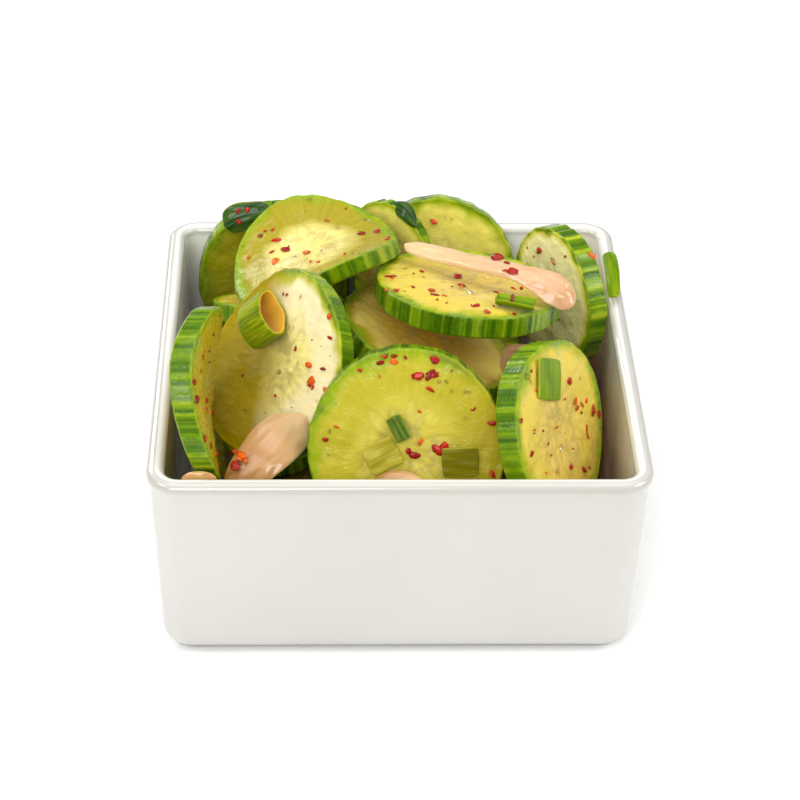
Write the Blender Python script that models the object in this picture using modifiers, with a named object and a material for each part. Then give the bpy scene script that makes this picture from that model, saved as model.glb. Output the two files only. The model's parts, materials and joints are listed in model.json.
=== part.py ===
"""A small square glazed bowl heaped with dressed cucumber salad.

The bowl is one tapered shell with a rounded lip and a shallow foot. The salad in it
is thick ribbed cucumber slices leaning on each other, thin petals of onion, and short
pieces of scallion, over a bed that fills the bowl below them. Every piece is a solid
of its own, and each keeps a small gap to its neighbours.

Lengths are in millimetres until MM turns them into Blender's metres. The origin is
at the middle of the foot, +Z up, and -Y is the side that the salad faces.
"""

import math

import bmesh
import bpy
import numpy as np
from mathutils import Vector
from mathutils.bvhtree import BVHTree

MM = 0.001

# Bowl
RIM_WIDTH = 110.0
BASE_WIDTH = 105.8
BOWL_HEIGHT = 48.9
RIM_CORNER = 7.0
BASE_CORNER = 6.8
LIP_RISE = 1.5
BASE_EDGE = 5.2
WALL = 3.6
FLOOR = 4.2
INNER_EDGE = 6.0
LIP_PROUD = 0.4
FOOT_INSET = 11.0
FOOT_RECESS = 1.0
CORNER_STEPS = 5

# Cucumber slices
SLICE_SEGMENTS = 32
SLICE_EDGE = 0.5
RIB_DEPTH = 0.012
RIBS = 16
CORE_HOLLOW = 0.25

# Bed of salad under the slices
BED_CELLS = 26
BED_GAP = 0.9
BED_EDGE_HEIGHT = 17.0
BED_PEAK_HEIGHT = 46.0
BED_LUMP = 1.6

# Each slice: middle of its thickness, tilt of its face from level, compass direction
# of that face, half length, half width, turn of the oval in its own plane, thickness,
# rise of the rim along and across the fold, and direction of the fold.
SLICES = {
    "slice_back_left": ((-29.1, 46.9, 36.9), 87.4, -88.2, 20.9, 18.8, 0.0, 4.8, 0.0, 0.0, 0.0),
    "slice_upper_left": ((-19.1, 20.5, 59.3), 18.4, 171.2, 21.4, 20.0, 108.0, 4.4, 4.6, -4.0, 119.0),
    "slice_left_curled": ((-25.7, -14.3, 52.7), 58.3, -139.2, 22.0, 19.8, -4.0, 4.8, 3.0, -1.5, 152.0),
    "slice_far_left": ((-43.6, -30.4, 55.0), 88.0, -1.5, 20.3, 18.6, 0.0, 4.8, 2.6, -2.6, 135.0),
    "slice_front": ((1.6, -38.0, 46.8), 65.6, -92.4, 22.8, 21.8, 0.0, 5.5, 0.0, 0.0, 0.0),
    "slice_front_right": ((34.0, -30.3, 45.3), 69.7, -27.1, 21.0, 20.4, 0.0, 5.4, 1.0, -0.6, 117.0),
    "slice_right_back": ((40.4, 27.6, 44.3), 85.9, -153.0, 17.4, 17.2, 0.0, 5.2, 0.0, 0.0, 0.0),
    "slice_top": ((16.7, 4.9, 59.6), 13.5, 66.5, 22.8, 21.8, 0.0, 5.2, 0.0, 0.0, 0.0),
    "slice_back": ((11.0, 45.2, 37.7), 72.6, -90.3, 21.2, 20.4, 0.0, 4.2, 0.0, 0.0, 0.0),
    "slice_back_tip": ((-1.2, 36.4, 51.6), 76.0, -128.0, 12.2, 11.8, 0.0, 3.8, 0.0, 0.0, 0.0),
    "slice_under_top": ((7.0, 2.7, 46.7), 21.8, 8.1, 21.4, 20.6, 0.0, 5.2, 0.0, 0.0, 0.0),
    "slice_inner_back": ((12.7, 30.4, 30.0), 62.0, -109.7, 19.3, 18.8, 0.0, 5.2, 0.0, 0.0, 0.0),
    "slice_inner_right": ((36.7, -1.6, 29.4), 77.6, -36.7, 17.6, 17.0, 0.0, 5.2, 0.0, 0.0, 0.0),
}

# Each petal: four points of its centre line, the side its face looks to, width at its
# start and its end, rise of its edges over its middle, and how much its ends narrow.
ONIONS = {
    "onion_over_top": (
        ((2.4, 16.6, 65.7), (15.2, 9.2, 65.8), (28.6, -0.4, 67.9), (38.2, -6.8, 62.9)),
        (0.05, -0.25, 1.0), (5.6, 9.6), -0.6, 0.3,
    ),
    "onion_front_left": (
        ((-36.1, -48.2, 43.8), (-32.3, -44.2, 46.8), (-27.4, -35.9, 47.2), (-22.3, -29.6, 47.7)),
        (-0.2, -0.72, 0.66), (9.2, 12.4), -1.2, 0.25,
    ),
    "onion_corner": (
        ((-46.6, -49.6, 45.2), (-44.4, -49.6, 46.2), (-42.0, -49.6, 46.2), (-39.8, -49.6, 45.4)),
        (0.0, -1.0, 0.0), (4.6, 4.6), 0.0, 0.4,
    ),
    "onion_gap": (
        ((27.6, -8.8, 45.4), (27.8, -9.2, 48.8), (28.0, -9.8, 52.2), (28.2, -10.0, 55.0)),
        (0.0, -0.8, 0.6), (8.4, 8.4), -0.8, 0.25,
    ),
    "onion_front": (
        ((-6.4, -46.7, 42.4), (-2.4, -46.5, 43.4), (1.6, -46.5, 43.4), (5.6, -46.7, 42.6)),
        (0.0, -0.5, 0.85), (5.6, 5.6), -0.5, 0.5,
    ),
}
LEAVES = {
    "scallion_right_back": (
        ((52.3, 36.4, 51.1), (52.3, 29.5, 51.6), (52.1, 22.5, 51.6), (51.7, 15.8, 51.1)),
        (-0.1, -0.2, 1.0), (3.4, 3.4), -0.3, 0.4,
    ),
    "scallion_back_left": (
        ((-39.9, 41.6, 54.9), (-37.0, 41.7, 56.3), (-33.5, 41.8, 57.6), (-30.1, 42.0, 58.8)),
        (-0.1, -0.9, 0.45), (5.6, 5.6), -0.4, 0.3,
    ),
}

# Each piece of scallion: the slice that it lies on, its place on that slice's face,
# its turn, length, width and rise of its edges.
SCALLIONS = {
    "scallion_left": ("slice_left_curled", -6.5, -8.0, -35.0, 10.0, 8.5, 1.6),
    "scallion_front_right": ("slice_front_right", -13.0, 1.2, 0.0, 8.8, 7.0, 0.0),
    "scallion_pale": ("slice_front", 1.2, -5.3, 115.0, 7.6, 7.0, 0.0),
    "scallion_oval": ("slice_front", -5.1, -1.9, 35.0, 5.8, 3.4, 0.0),
    "scallion_olive": ("slice_front", 2.1, 11.7, 95.0, 8.0, 6.6, 0.0),
    "scallion_top": ("slice_top", -10.0, -14.4, -67.0, 7.0, 4.0, 0.0),
}
PETAL_THICKNESS = 1.8
SCALLION_THICKNESS = 1.0
LEAF_GAP = 0.55


def clear_scene():
    for obj in list(bpy.data.objects):
        bpy.data.objects.remove(obj)


def collection(name):
    made = bpy.data.collections.new(name)
    bpy.context.scene.collection.children.link(made)
    return made


def material(name, colour, roughness):
    made = bpy.data.materials.new(name)
    made.use_nodes = True
    shader = made.node_tree.nodes["Principled BSDF"]
    shader.inputs["Base Color"].default_value = (*colour, 1.0)
    shader.inputs["Roughness"].default_value = roughness
    shader.inputs["Metallic"].default_value = 0.0
    return made


def finish(name, bm, look, home, smooth_angle=35):
    """Turns a bmesh into a smooth shaded object of the collection."""
    mesh = bpy.data.meshes.new(name)
    bm.to_mesh(mesh)
    bm.free()
    mesh.shade_smooth()
    mesh.set_sharp_from_angle(angle=math.radians(smooth_angle))
    mesh.materials.append(look)
    obj = bpy.data.objects.new(name, mesh)
    home.objects.link(obj)
    return obj


# ---------------------------------------------------------------- bowl


def rounded_square(half, radius, height):
    """Ring of points of a level square with round corners, anticlockwise from above."""
    ring = []
    for quarter in range(4):
        turn = quarter * math.pi / 2
        for step in range(CORNER_STEPS + 1):
            angle = turn + step / CORNER_STEPS * math.pi / 2
            centre = turn + math.pi / 4
            reach = (half - radius) * math.sqrt(2)
            x = reach * math.cos(centre) + radius * math.cos(angle)
            y = reach * math.sin(centre) + radius * math.sin(angle)
            ring.append((x, y, height))
    return ring


def wall_line(height):
    """Half width and corner radius of the bowl's outer wall at a height."""
    share = (height - BASE_EDGE) / (BOWL_HEIGHT - BASE_EDGE)
    top = RIM_WIDTH - 2 * LIP_PROUD
    half = (BASE_WIDTH + (top - BASE_WIDTH) * share) / 2
    return half, BASE_CORNER + (RIM_CORNER - BASE_CORNER) * share


def wall_ring(inset, height):
    """Ring a distance inside the outer wall."""
    half, radius = wall_line(height)
    return rounded_square(half - inset, max(radius - inset, 1.2), height)


def bowl_rings():
    """Sections of the bowl from the middle of its underside, over the lip, to its floor."""
    rings = [
        wall_ring(FOOT_INSET + 1.0, FOOT_RECESS),
        wall_ring(FOOT_INSET, 0.0),
        wall_ring(BASE_EDGE, 0.0),
    ]
    for step in range(1, 5):
        angle = step / 4 * math.pi / 2
        inset = BASE_EDGE * (1 - math.sin(angle))
        rings.append(wall_ring(inset, BASE_EDGE * (1 - math.cos(angle))))
    lip = (WALL + LIP_PROUD) / 2
    lip_height = BOWL_HEIGHT - LIP_RISE
    rings.append(wall_ring(0.0, lip_height - 2.4))
    rings.append(wall_ring(-LIP_PROUD * 0.5, lip_height - 1.0))
    for step in range(8):
        angle = step / 7 * math.pi
        inset = lip - LIP_PROUD - lip * math.cos(angle)
        rings.append(wall_ring(inset, lip_height + LIP_RISE * math.sin(angle)))
    rings.append(wall_ring(WALL, FLOOR + INNER_EDGE))
    for step in range(1, 5):
        angle = step / 4 * math.pi / 2
        inset = WALL + INNER_EDGE * (1 - math.cos(angle))
        rings.append(wall_ring(inset, FLOOR + INNER_EDGE * (1 - math.sin(angle))))
    return rings


def build_bowl(look, home):
    bm = bmesh.new()
    loops = []
    for ring in bowl_rings():
        loops.append([bm.verts.new(Vector(point) * MM) for point in ring])
    count = len(loops[0])
    for lower, upper in zip(loops, loops[1:]):
        for i in range(count):
            j = (i + 1) % count
            bm.faces.new((lower[i], lower[j], upper[j], upper[i]))
    bm.faces.new(reversed(loops[0]))
    bm.faces.new(loops[-1])
    return finish("bowl", bm, look, home, 40)


# ---------------------------------------------------------------- cucumber


def slice_shape(bm, half_length, half_width, spin, thickness, rise, cross_rise, fold):
    """Bends a unit disc into a ribbed, slightly hollow, curled oval slice."""
    spin = math.radians(spin)
    fold = math.radians(fold)
    mean = (half_length + half_width) / 2
    for vert in bm.verts:
        x, y, z = vert.co
        out = math.hypot(x, y)
        angle = math.atan2(y, x)
        rib = 1 + RIB_DEPTH * out * math.cos(RIBS * angle)
        px = x * rib * half_length
        py = y * rib * half_width
        px, py = (
            px * math.cos(spin) - py * math.sin(spin),
            px * math.sin(spin) + py * math.cos(spin),
        )
        along = (px * math.cos(fold) + py * math.sin(fold)) / mean
        across = (py * math.cos(fold) - px * math.sin(fold)) / mean
        hollow = CORE_HOLLOW * max(0.0, 1 - out * 1.6) * math.copysign(1, z)
        pz = z * thickness - hollow + rise * along**2 + cross_rise * across**2
        vert.co = Vector((px, py, pz)) * MM


def build_slice(name, spec, look, home):
    place, tilt, compass, half_length, half_width, spin, thickness = spec[:7]
    bm = bmesh.new()
    bmesh.ops.create_cone(
        bm, cap_ends=True, segments=SLICE_SEGMENTS, radius1=1, radius2=1, depth=1
    )
    caps = [face for face in bm.faces if len(face.verts) == SLICE_SEGMENTS]
    bmesh.ops.inset_individual(bm, faces=caps, thickness=0.42)
    bmesh.ops.poke(bm, faces=caps)
    slice_shape(bm, half_length, half_width, spin, thickness, *spec[7:])
    obj = finish(name, bm, look, home, 50)
    obj.location = Vector(place) * MM
    obj.rotation_euler = (0.0, math.radians(tilt), math.radians(compass))
    edge = obj.modifiers.new("Rounded rim", "BEVEL")
    edge.width = SLICE_EDGE * MM
    edge.segments = 1
    edge.limit_method = "ANGLE"
    edge.angle_limit = math.radians(50)
    return obj


# ---------------------------------------------------------------- onion and scallion


def curved_sheet(points, facing, width, cup, taper, cells):
    """Grid laid along the cubic through four points, bowed across and narrowed at its ends."""
    points = np.array(points, float)
    facing = np.array(facing, float)
    stations = np.linspace(0.0, 1.0, 4)
    curve = np.polyfit(stations, points, 3)
    slope = curve[:3] * np.array((3.0, 2.0, 1.0))[:, None]
    centre = points.mean(axis=0)
    bm = bmesh.new()
    bmesh.ops.create_grid(bm, x_segments=cells[0], y_segments=cells[1], size=1)
    for vert in bm.verts:
        along = (vert.co.x + 1) / 2
        across = vert.co.y
        point = np.array([along**3, along**2, along, 1.0]) @ curve
        heading = np.array([along**2, along, 1.0]) @ slope
        side = np.cross(facing, heading)
        side /= np.linalg.norm(side)
        outward = np.cross(heading, side)
        outward /= np.linalg.norm(outward)
        reach = (width[0] + (width[1] - width[0]) * along) / 2
        reach *= 1 - taper * abs(vert.co.x) ** 2.5
        point = point + side * across * reach + outward * cup * (across**2 - 0.3)
        vert.co = Vector(point - centre) * MM
    return bm, Vector(centre) * MM


def thicken(obj, thickness):
    skin = obj.modifiers.new("Thickness", "SOLIDIFY")
    skin.thickness = thickness * MM
    skin.offset = 0.0


def build_petal(name, spec, look, home):
    bm, centre = curved_sheet(*spec, (10, 4))
    obj = finish(name, bm, look, home, 60)
    obj.location = centre
    thicken(obj, PETAL_THICKNESS)
    return obj


def face_height(spec, x, y):
    """Height of a slice's upper face over its middle, at a place on it."""
    half_length, half_width, _, thickness, rise, cross_rise, fold = spec[3:]
    mean = (half_length + half_width) / 2
    fold = math.radians(fold)
    along = (x * math.cos(fold) + y * math.sin(fold)) / mean
    across = (y * math.cos(fold) - x * math.sin(fold)) / mean
    return thickness / 2 + rise * along**2 + cross_rise * across**2


def build_scallion(name, spec, look, home):
    """Short flattened length of leaf, lying on a slice as its child."""
    parent, x, y, turn, length, width, cup = spec
    host = bpy.data.objects[parent]
    heading = np.array((math.cos(math.radians(turn)), math.sin(math.radians(turn)), 0.0))
    points = []
    for share in (-0.5, -1 / 6, 1 / 6, 0.5):
        px = x + heading[0] * length * share
        py = y + heading[1] * length * share
        lift = LEAF_GAP + SCALLION_THICKNESS / 2 + 0.3 * abs(cup)
        points.append((px, py, face_height(SLICES[parent], px, py) + lift))
    bm, centre = curved_sheet(points, (0, 0, 1), (width, width), cup, 0.12, (4, 3))
    obj = finish(name, bm, look, home, 60)
    obj.parent = host
    obj.location = centre
    thicken(obj, SCALLION_THICKNESS)
    return obj


# ---------------------------------------------------------------- bed


def pieces_above(objects):
    """All pieces as one search tree, in millimetres."""
    graph = bpy.context.evaluated_depsgraph_get()
    points = []
    polygons = []
    for obj in objects:
        shape = obj.evaluated_get(graph)
        mesh = shape.to_mesh()
        first = len(points)
        points.extend(shape.matrix_world @ vert.co / MM for vert in mesh.vertices)
        polygons.extend([first + i for i in face.vertices] for face in mesh.polygons)
        shape.to_mesh_clear()
    return BVHTree.FromPolygons(points, polygons)


def bed_surface(x, y):
    """Free height of the bed: highest in the middle, with soft lumps."""
    half = wall_line(20.0)[0] - WALL
    share = min(1.0, max(abs(x), abs(y)) / half)
    mound = BED_EDGE_HEIGHT + (BED_PEAK_HEIGHT - BED_EDGE_HEIGHT) * (1 - share**2.4)
    lumps = math.sin(x * 0.37 + 0.8) * math.cos(y * 0.33 - 0.4) + 0.6 * math.sin(x * 0.21 - y * 0.27)
    return mound + BED_LUMP * lumps


def build_bed(pieces, look, home):
    tree = pieces_above(pieces)
    floor = FLOOR + 0.4
    skirt = FLOOR + INNER_EDGE + 0.4
    half, radius = wall_line(skirt)
    half -= WALL + BED_GAP
    radius = max(radius - WALL - BED_GAP, 1.2)
    cell = 2 * half / BED_CELLS
    bm = bmesh.new()
    bmesh.ops.create_grid(bm, x_segments=BED_CELLS, y_segments=BED_CELLS, size=half)
    for vert in bm.verts:
        x, y = vert.co.x, vert.co.y
        cx = max(abs(x) - (half - radius), 0.0)
        cy = max(abs(y) - (half - radius), 0.0)
        reach = math.hypot(cx, cy)
        if min(cx, cy) > 0 and reach > radius:
            x = math.copysign(half - radius + cx / reach * radius, x)
            y = math.copysign(half - radius + cy / reach * radius, y)
        height = bed_surface(x, y)
        for dx in (-1.0, -0.5, 0.0, 0.5, 1.0):
            for dy in (-1.0, -0.5, 0.0, 0.5, 1.0):
                spot = Vector((x + dx * cell, y + dy * cell, floor))
                hit = tree.ray_cast(spot, Vector((0, 0, 1)))[0]
                if hit is not None:
                    height = min(height, hit.z - BED_GAP)
        vert.co = Vector((x, y, max(height, skirt + 0.5))) * MM
    for drop, inset in ((skirt, 0.0), (floor, INNER_EDGE - 0.3)):
        rim = [edge for edge in bm.edges if edge.is_boundary]
        added = bmesh.ops.extrude_edge_only(bm, edges=rim)["geom"]
        for vert in [item for item in added if isinstance(item, bmesh.types.BMVert)]:
            vert.co.x *= 1 - inset / half
            vert.co.y *= 1 - inset / half
            vert.co.z = drop * MM
    bmesh.ops.holes_fill(bm, edges=[edge for edge in bm.edges if edge.is_boundary], sides=0)
    bmesh.ops.recalc_face_normals(bm, faces=bm.faces)
    return finish("salad_bed", bm, look, home, 60)


def main():
    clear_scene()
    home = collection("Cucumber salad bowl")
    glaze = material("white glaze", (0.83, 0.81, 0.77), 0.12)
    flesh = material("dressed cucumber", (0.55, 0.5, 0.16), 0.25)
    petal = material("pink onion", (0.8, 0.6, 0.48), 0.25)
    leaf = material("scallion", (0.22, 0.36, 0.05), 0.35)
    mixed = material("dressed salad bed", (0.33, 0.3, 0.07), 0.4)
    build_bowl(glaze, home)
    pieces = [build_slice(name, spec, flesh, home) for name, spec in SLICES.items()]
    pieces += [build_petal(name, spec, petal, home) for name, spec in ONIONS.items()]
    for name, spec in LEAVES.items():
        build_petal(name, spec, leaf, home)
    for name, spec in SCALLIONS.items():
        build_scallion(name, spec, leaf, home)
    bpy.context.view_layer.update()
    build_bed(pieces, mixed, home)


main()
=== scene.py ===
# %% [markdown]
# # A square bowl of cucumber salad
#
# The solid model gives the real sizes and the place of every piece. This lesson gives each of
# them its finish: wet cucumber slices with a striped skin, onion petals, scallion, chilli
# flakes and a glazed porcelain bowl. New pieces are surfaces worked out with numpy, and one
# that stands for a solid takes its place from it.

import json
import math

import bpy
import numpy as np
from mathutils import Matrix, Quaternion, Vector
from mathutils.bvhtree import BVHTree

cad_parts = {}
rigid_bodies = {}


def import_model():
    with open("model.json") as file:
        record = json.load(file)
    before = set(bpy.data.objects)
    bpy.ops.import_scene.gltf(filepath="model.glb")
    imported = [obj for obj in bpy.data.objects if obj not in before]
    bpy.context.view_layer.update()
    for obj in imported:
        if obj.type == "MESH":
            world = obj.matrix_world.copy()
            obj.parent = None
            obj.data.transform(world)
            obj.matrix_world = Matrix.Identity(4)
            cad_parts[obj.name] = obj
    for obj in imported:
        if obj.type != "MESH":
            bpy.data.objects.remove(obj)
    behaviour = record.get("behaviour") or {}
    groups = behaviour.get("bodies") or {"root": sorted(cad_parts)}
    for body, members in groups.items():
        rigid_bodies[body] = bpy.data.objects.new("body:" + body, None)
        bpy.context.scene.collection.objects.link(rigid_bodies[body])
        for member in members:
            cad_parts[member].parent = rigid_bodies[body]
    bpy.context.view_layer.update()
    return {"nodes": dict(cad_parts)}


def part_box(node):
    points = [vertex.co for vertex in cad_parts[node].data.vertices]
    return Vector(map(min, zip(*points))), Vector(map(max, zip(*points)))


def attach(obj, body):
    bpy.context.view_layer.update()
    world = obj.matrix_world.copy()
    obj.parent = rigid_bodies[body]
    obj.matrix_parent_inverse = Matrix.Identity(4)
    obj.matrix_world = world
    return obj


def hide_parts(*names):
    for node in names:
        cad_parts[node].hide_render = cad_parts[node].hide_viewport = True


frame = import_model()
MM = 0.001
SEED = 11

# %% [markdown]
# ## Camera
#
# The bowl is seen from about 35 degrees above, through a long lens that hardly bends its
# edges. The camera is aimed at a point in the heap, and a small roll levels the front rim.

# %% Camera
CAMERA_PLACE = (-16.0, -473.3, 368.6)
CAMERA_AIM = (1.4, 3.7, 30.1)
CAMERA_LENS = 111.18
CAMERA_ROLL = 1.21

lens = bpy.data.cameras.new("camera")
lens.lens = CAMERA_LENS
lens.sensor_width = 36.0
camera = bpy.data.objects.new("camera", lens)
camera.location = Vector(CAMERA_PLACE) * MM
heading = Vector(CAMERA_AIM) - Vector(CAMERA_PLACE)
turned = heading.to_track_quat("-Z", "Y")
camera.rotation_mode = "QUATERNION"
camera.rotation_quaternion = turned @ Quaternion((0, 0, 1), math.radians(CAMERA_ROLL))
bpy.context.scene.collection.objects.link(camera)
bpy.context.scene.camera = camera
print("camera", round(heading.length), "mm from the heap")

# %% [markdown]
# ## Light
#
# Food on white is lit by large softboxes in a dim room. A wide one in front lights the bowl,
# one hangs overhead, and one on each side fills the shadows. A small one behind the bowl only
# makes glare on the slice at the upper left. The room is only a soft grey, because a bright
# one would lay a white veil over every wet surface.

# %% Light
HEAP_MIDDLE = Vector((0, 0, 0.04))
ROOM_GREY = 0.36


def softbox(name, place, size, watts):
    """A square lamp aimed at the heap. Its place and size are in metres."""
    light = bpy.data.lights.new(name, "AREA")
    light.size = size
    light.energy = watts
    lamp = bpy.data.objects.new(name, light)
    lamp.location = place
    aim = HEAP_MIDDLE - Vector(place)
    lamp.rotation_mode = "QUATERNION"
    lamp.rotation_quaternion = aim.to_track_quat("-Z", "Y")
    bpy.context.scene.collection.objects.link(lamp)


softbox("softbox_front", (-0.3, -0.95, 0.84), 0.7, 8.7)
softbox("softbox_top", (0.05, 0.1, 0.95), 0.8, 3.7)
softbox("softbox_left", (-0.7, -0.2, 0.8), 0.4, 2.6)
softbox("softbox_right", (0.8, -0.2, 0.7), 0.5, 5.0)
softbox("glare_back_left", (-0.52, 0.74, 0.5), 0.35, 3.2)
sky = bpy.data.worlds.new("sky")
sky.use_nodes = True
sky.node_tree.nodes["Background"].inputs["Color"].default_value = (1.0, 1.0, 1.0, 1.0)
sky.node_tree.nodes["Background"].inputs["Strength"].default_value = ROOM_GREY
bpy.context.scene.world = sky
bpy.context.scene.view_settings.view_transform = "Standard"
print(len(bpy.data.lights), "softboxes")

# %% [markdown]
# ## Meshes from arrays
#
# Each new piece is a closed skin. Its rings of points come as one array, the first and last
# ring are closed by a pole, and quads join the rings. Numbers that a material needs, such as
# how far a point is from the middle, are stored on the points as attributes.

# %% Closed skins
def mesh_object(name, points, quads, triangles, fields):
    """A smooth mesh in metres from points in millimetres and its faces. It is turned inside
    out if the sum of the signed volumes under its faces is negative."""
    ends = np.concatenate([quads[:, [0, 1, 2]], quads[:, [0, 2, 3]], triangles])
    a, b, c = (points[ends[:, k]] for k in range(3))
    if np.einsum("ij,ij->i", a, np.cross(b, c)).sum() < 0:
        quads, triangles = quads[:, ::-1], triangles[:, ::-1]
    corners = np.concatenate([quads.ravel(), triangles.ravel()])
    starts = np.concatenate([
        np.arange(len(quads)) * 4,
        len(quads) * 4 + np.arange(len(triangles)) * 3,
    ])
    mesh = bpy.data.meshes.new(name)
    mesh.vertices.add(len(points))
    mesh.vertices.foreach_set("co", (points * MM).astype(np.float32).ravel())
    mesh.loops.add(len(corners))
    mesh.loops.foreach_set("vertex_index", corners.astype(np.int32))
    mesh.polygons.add(len(starts))
    mesh.polygons.foreach_set("loop_start", starts.astype(np.int32))
    mesh.update(calc_edges=True)
    mesh.shade_smooth()
    for key, values in fields.items():
        kind, slot = ("FLOAT", "value") if values.ndim == 1 else ("FLOAT_VECTOR", "vector")
        attribute = mesh.attributes.new(key, kind, "POINT")
        attribute.data.foreach_set(slot, values.astype(np.float32).ravel())
    made = bpy.data.objects.new(name, mesh)
    bpy.context.scene.collection.objects.link(made)
    return made


def closed_skin(name, rings, poles, fields):
    """Joins rings, an array of (ring, point around, 3), and two poles into one closed skin.
    Each field holds one value, or three, for the first pole, the rings and the last pole."""
    count, around = rings.shape[:2]
    points = np.concatenate([poles[:1], rings.reshape(-1, 3), poles[1:]])
    here = 1 + np.arange(count * around).reshape(count, around)
    beside = np.roll(here, -1, axis=1)
    quads = np.stack([here[:-1], beside[:-1], beside[1:], here[1:]], axis=-1).reshape(-1, 4)
    first = np.stack([np.zeros(around, int), beside[0], here[0]], axis=-1)
    last = np.stack([np.full(around, len(points) - 1), here[-1], beside[-1]], axis=-1)
    return mesh_object(name, points, quads, np.concatenate([first, last]), fields)


def ripple(x, y, size, seed, waves=20):
    """Smooth random relief, mostly between -1 and 1: a sum of plane waves about size long,
    with random headings and phases."""
    pick = np.random.default_rng(seed)
    heading = pick.uniform(0, 2 * np.pi, waves)
    number = 2 * np.pi / (size * pick.uniform(0.7, 1.5, waves))
    phase = pick.uniform(0, 2 * np.pi, waves)
    along = x[..., None] * np.cos(heading) + y[..., None] * np.sin(heading)
    return np.cos(along * number + phase).sum(-1) / math.sqrt(waves)


def smooth(low, high, value):
    """0 up to low, 1 from high on, and 3t^2 - 2t^3 between them. With low above high it falls."""
    share = np.clip((value - low) / (high - low), 0, 1)
    return share * share * (3 - 2 * share)


def place_piece(piece, material, slot, *nodes):
    """Gives a finished piece its material, its body and the solids that it stands for."""
    piece.data.materials.append(material)
    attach(piece, "root")
    if nodes:
        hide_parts(*nodes)
    print(piece.name, len(piece.data.polygons), "faces")


# %% [markdown]
# ## Materials from nodes
#
# Colours are written as sRGB hex values, as a colour picker shows them, and turned to the
# linear numbers that the renderer works in. One small function adds every node.

# %% Nodes and colours
# The Mix node has several sockets of each name, so its colour sockets go by number.
MIX_A, MIX_B, MIX_RESULT = 6, 7, 2


def linear(code):
    """An sRGB hex colour as linear red, green, blue and alpha: the low end is divided by
    12.92, and the rest is ((c + 0.055) / 1.055) to the power 2.4."""
    channels = np.array([int(code[i : i + 2], 16) for i in (1, 3, 5)]) / 255
    curved = ((channels + 0.055) / 1.055) ** 2.4
    return (*np.where(channels <= 0.04045, channels / 12.92, curved), 1.0)


def add(tree, kind, inputs=None, stops=(), **settings):
    """Adds a shader node. settings are its own properties, inputs maps each socket to a value
    or to another node's output, and stops are a colour ramp's places and colours."""
    made = tree.nodes.new("ShaderNode" + kind)
    for key, value in settings.items():
        setattr(made, key, value)
    for key, value in (inputs or {}).items():
        if isinstance(value, bpy.types.NodeSocket):
            tree.links.new(value, made.inputs[key])
        else:
            made.inputs[key].default_value = value
    for index, (place, code) in enumerate(stops):
        elements = made.color_ramp.elements
        element = elements[index] if index < 2 else elements.new(place)
        element.position = place
        element.color = linear(code)
    return made


def new_material(name):
    """A new material, its node tree and its Principled shader."""
    made = bpy.data.materials.new(name)
    made.use_nodes = True
    return made, made.node_tree, made.node_tree.nodes["Principled BSDF"]


def set_sockets(shader, values):
    """Sets sockets that are the same all over the surface."""
    for key, value in values.items():
        shader.inputs[key].default_value = value


# %% [markdown]
# ## Floor
#
# A sheet of matt white paper under strong light, so bright that the bowl's soft shadow nearly
# disappears in it.

# %% Floor
FLOOR_HALF = 3000.0

floor_points = np.array([(-1, -1, 0), (1, -1, 0), (1, 1, 0), (-1, 1, 0)]) * FLOOR_HALF
floor = mesh_object(
    "floor", floor_points, np.array([[0, 1, 2, 3]]), np.empty((0, 3), int), {}
)
paper, tree, shader = new_material("matt white paper")
fleck = add(tree, "TexNoise", {
    "Vector": add(tree, "TexCoord").outputs["Object"], "Scale": 300.0, "Detail": 3.0,
})
grain = add(tree, "ValToRGB", {"Fac": fleck.outputs["Fac"]}, ((0.3, "#F3F3F2"), (0.7, "#F5F5F4")))
tree.links.new(grain.outputs["Color"], shader.inputs["Base Color"])
set_sockets(shader, {"Roughness": 0.9, "Specular IOR Level": 0.2})
floor.data.materials.append(paper)

# %% [markdown]
# ## The bowl
#
# Porcelain bowls of this kind are slip cast: the wall is one even thickness, the corners are
# rounded, and the glaze pools into a soft bead along the lip. The shape is a profile, from the
# middle of the underside over the lip to the middle of the floor, carried around a square
# with round corners. The corners grow from the base to the rim.

# %% Bowl sizes
bowl_low, bowl_high = (np.array(corner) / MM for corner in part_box("bowl"))
RIM_HALF = (bowl_high[0] - bowl_low[0]) / 2
BOWL_HEIGHT = bowl_high[2]
BASE_HALF = 52.9
RIM_CORNER = 7.0
BASE_CORNER = 6.8
BASE_EDGE = 5.2
WALL = 3.6
BOWL_FLOOR = 4.2
INNER_EDGE = 6.0
LIP_PROUD = 0.4
LIP_RISE = 1.5
LIP_NECK = 2.4
LIP_INNER = 0.8
FOOT_INSET = 11.0
FOOT_RECESS = 1.0
POLE_REACH = 0.92
LEAST_CORNER = 0.3
CORNER_POINTS = 18
SIDE_POINTS = 16


# %% Bowl profile and outline
def arc(middle, radius_out, radius_up, start, stop, count):
    """Points of (inset, height) on an ellipse around middle, from one angle to another."""
    angle = np.radians(np.linspace(start, stop, count))
    return np.stack(
        [middle[0] + radius_out * np.cos(angle), middle[1] + radius_up * np.sin(angle)], axis=-1
    )


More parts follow.
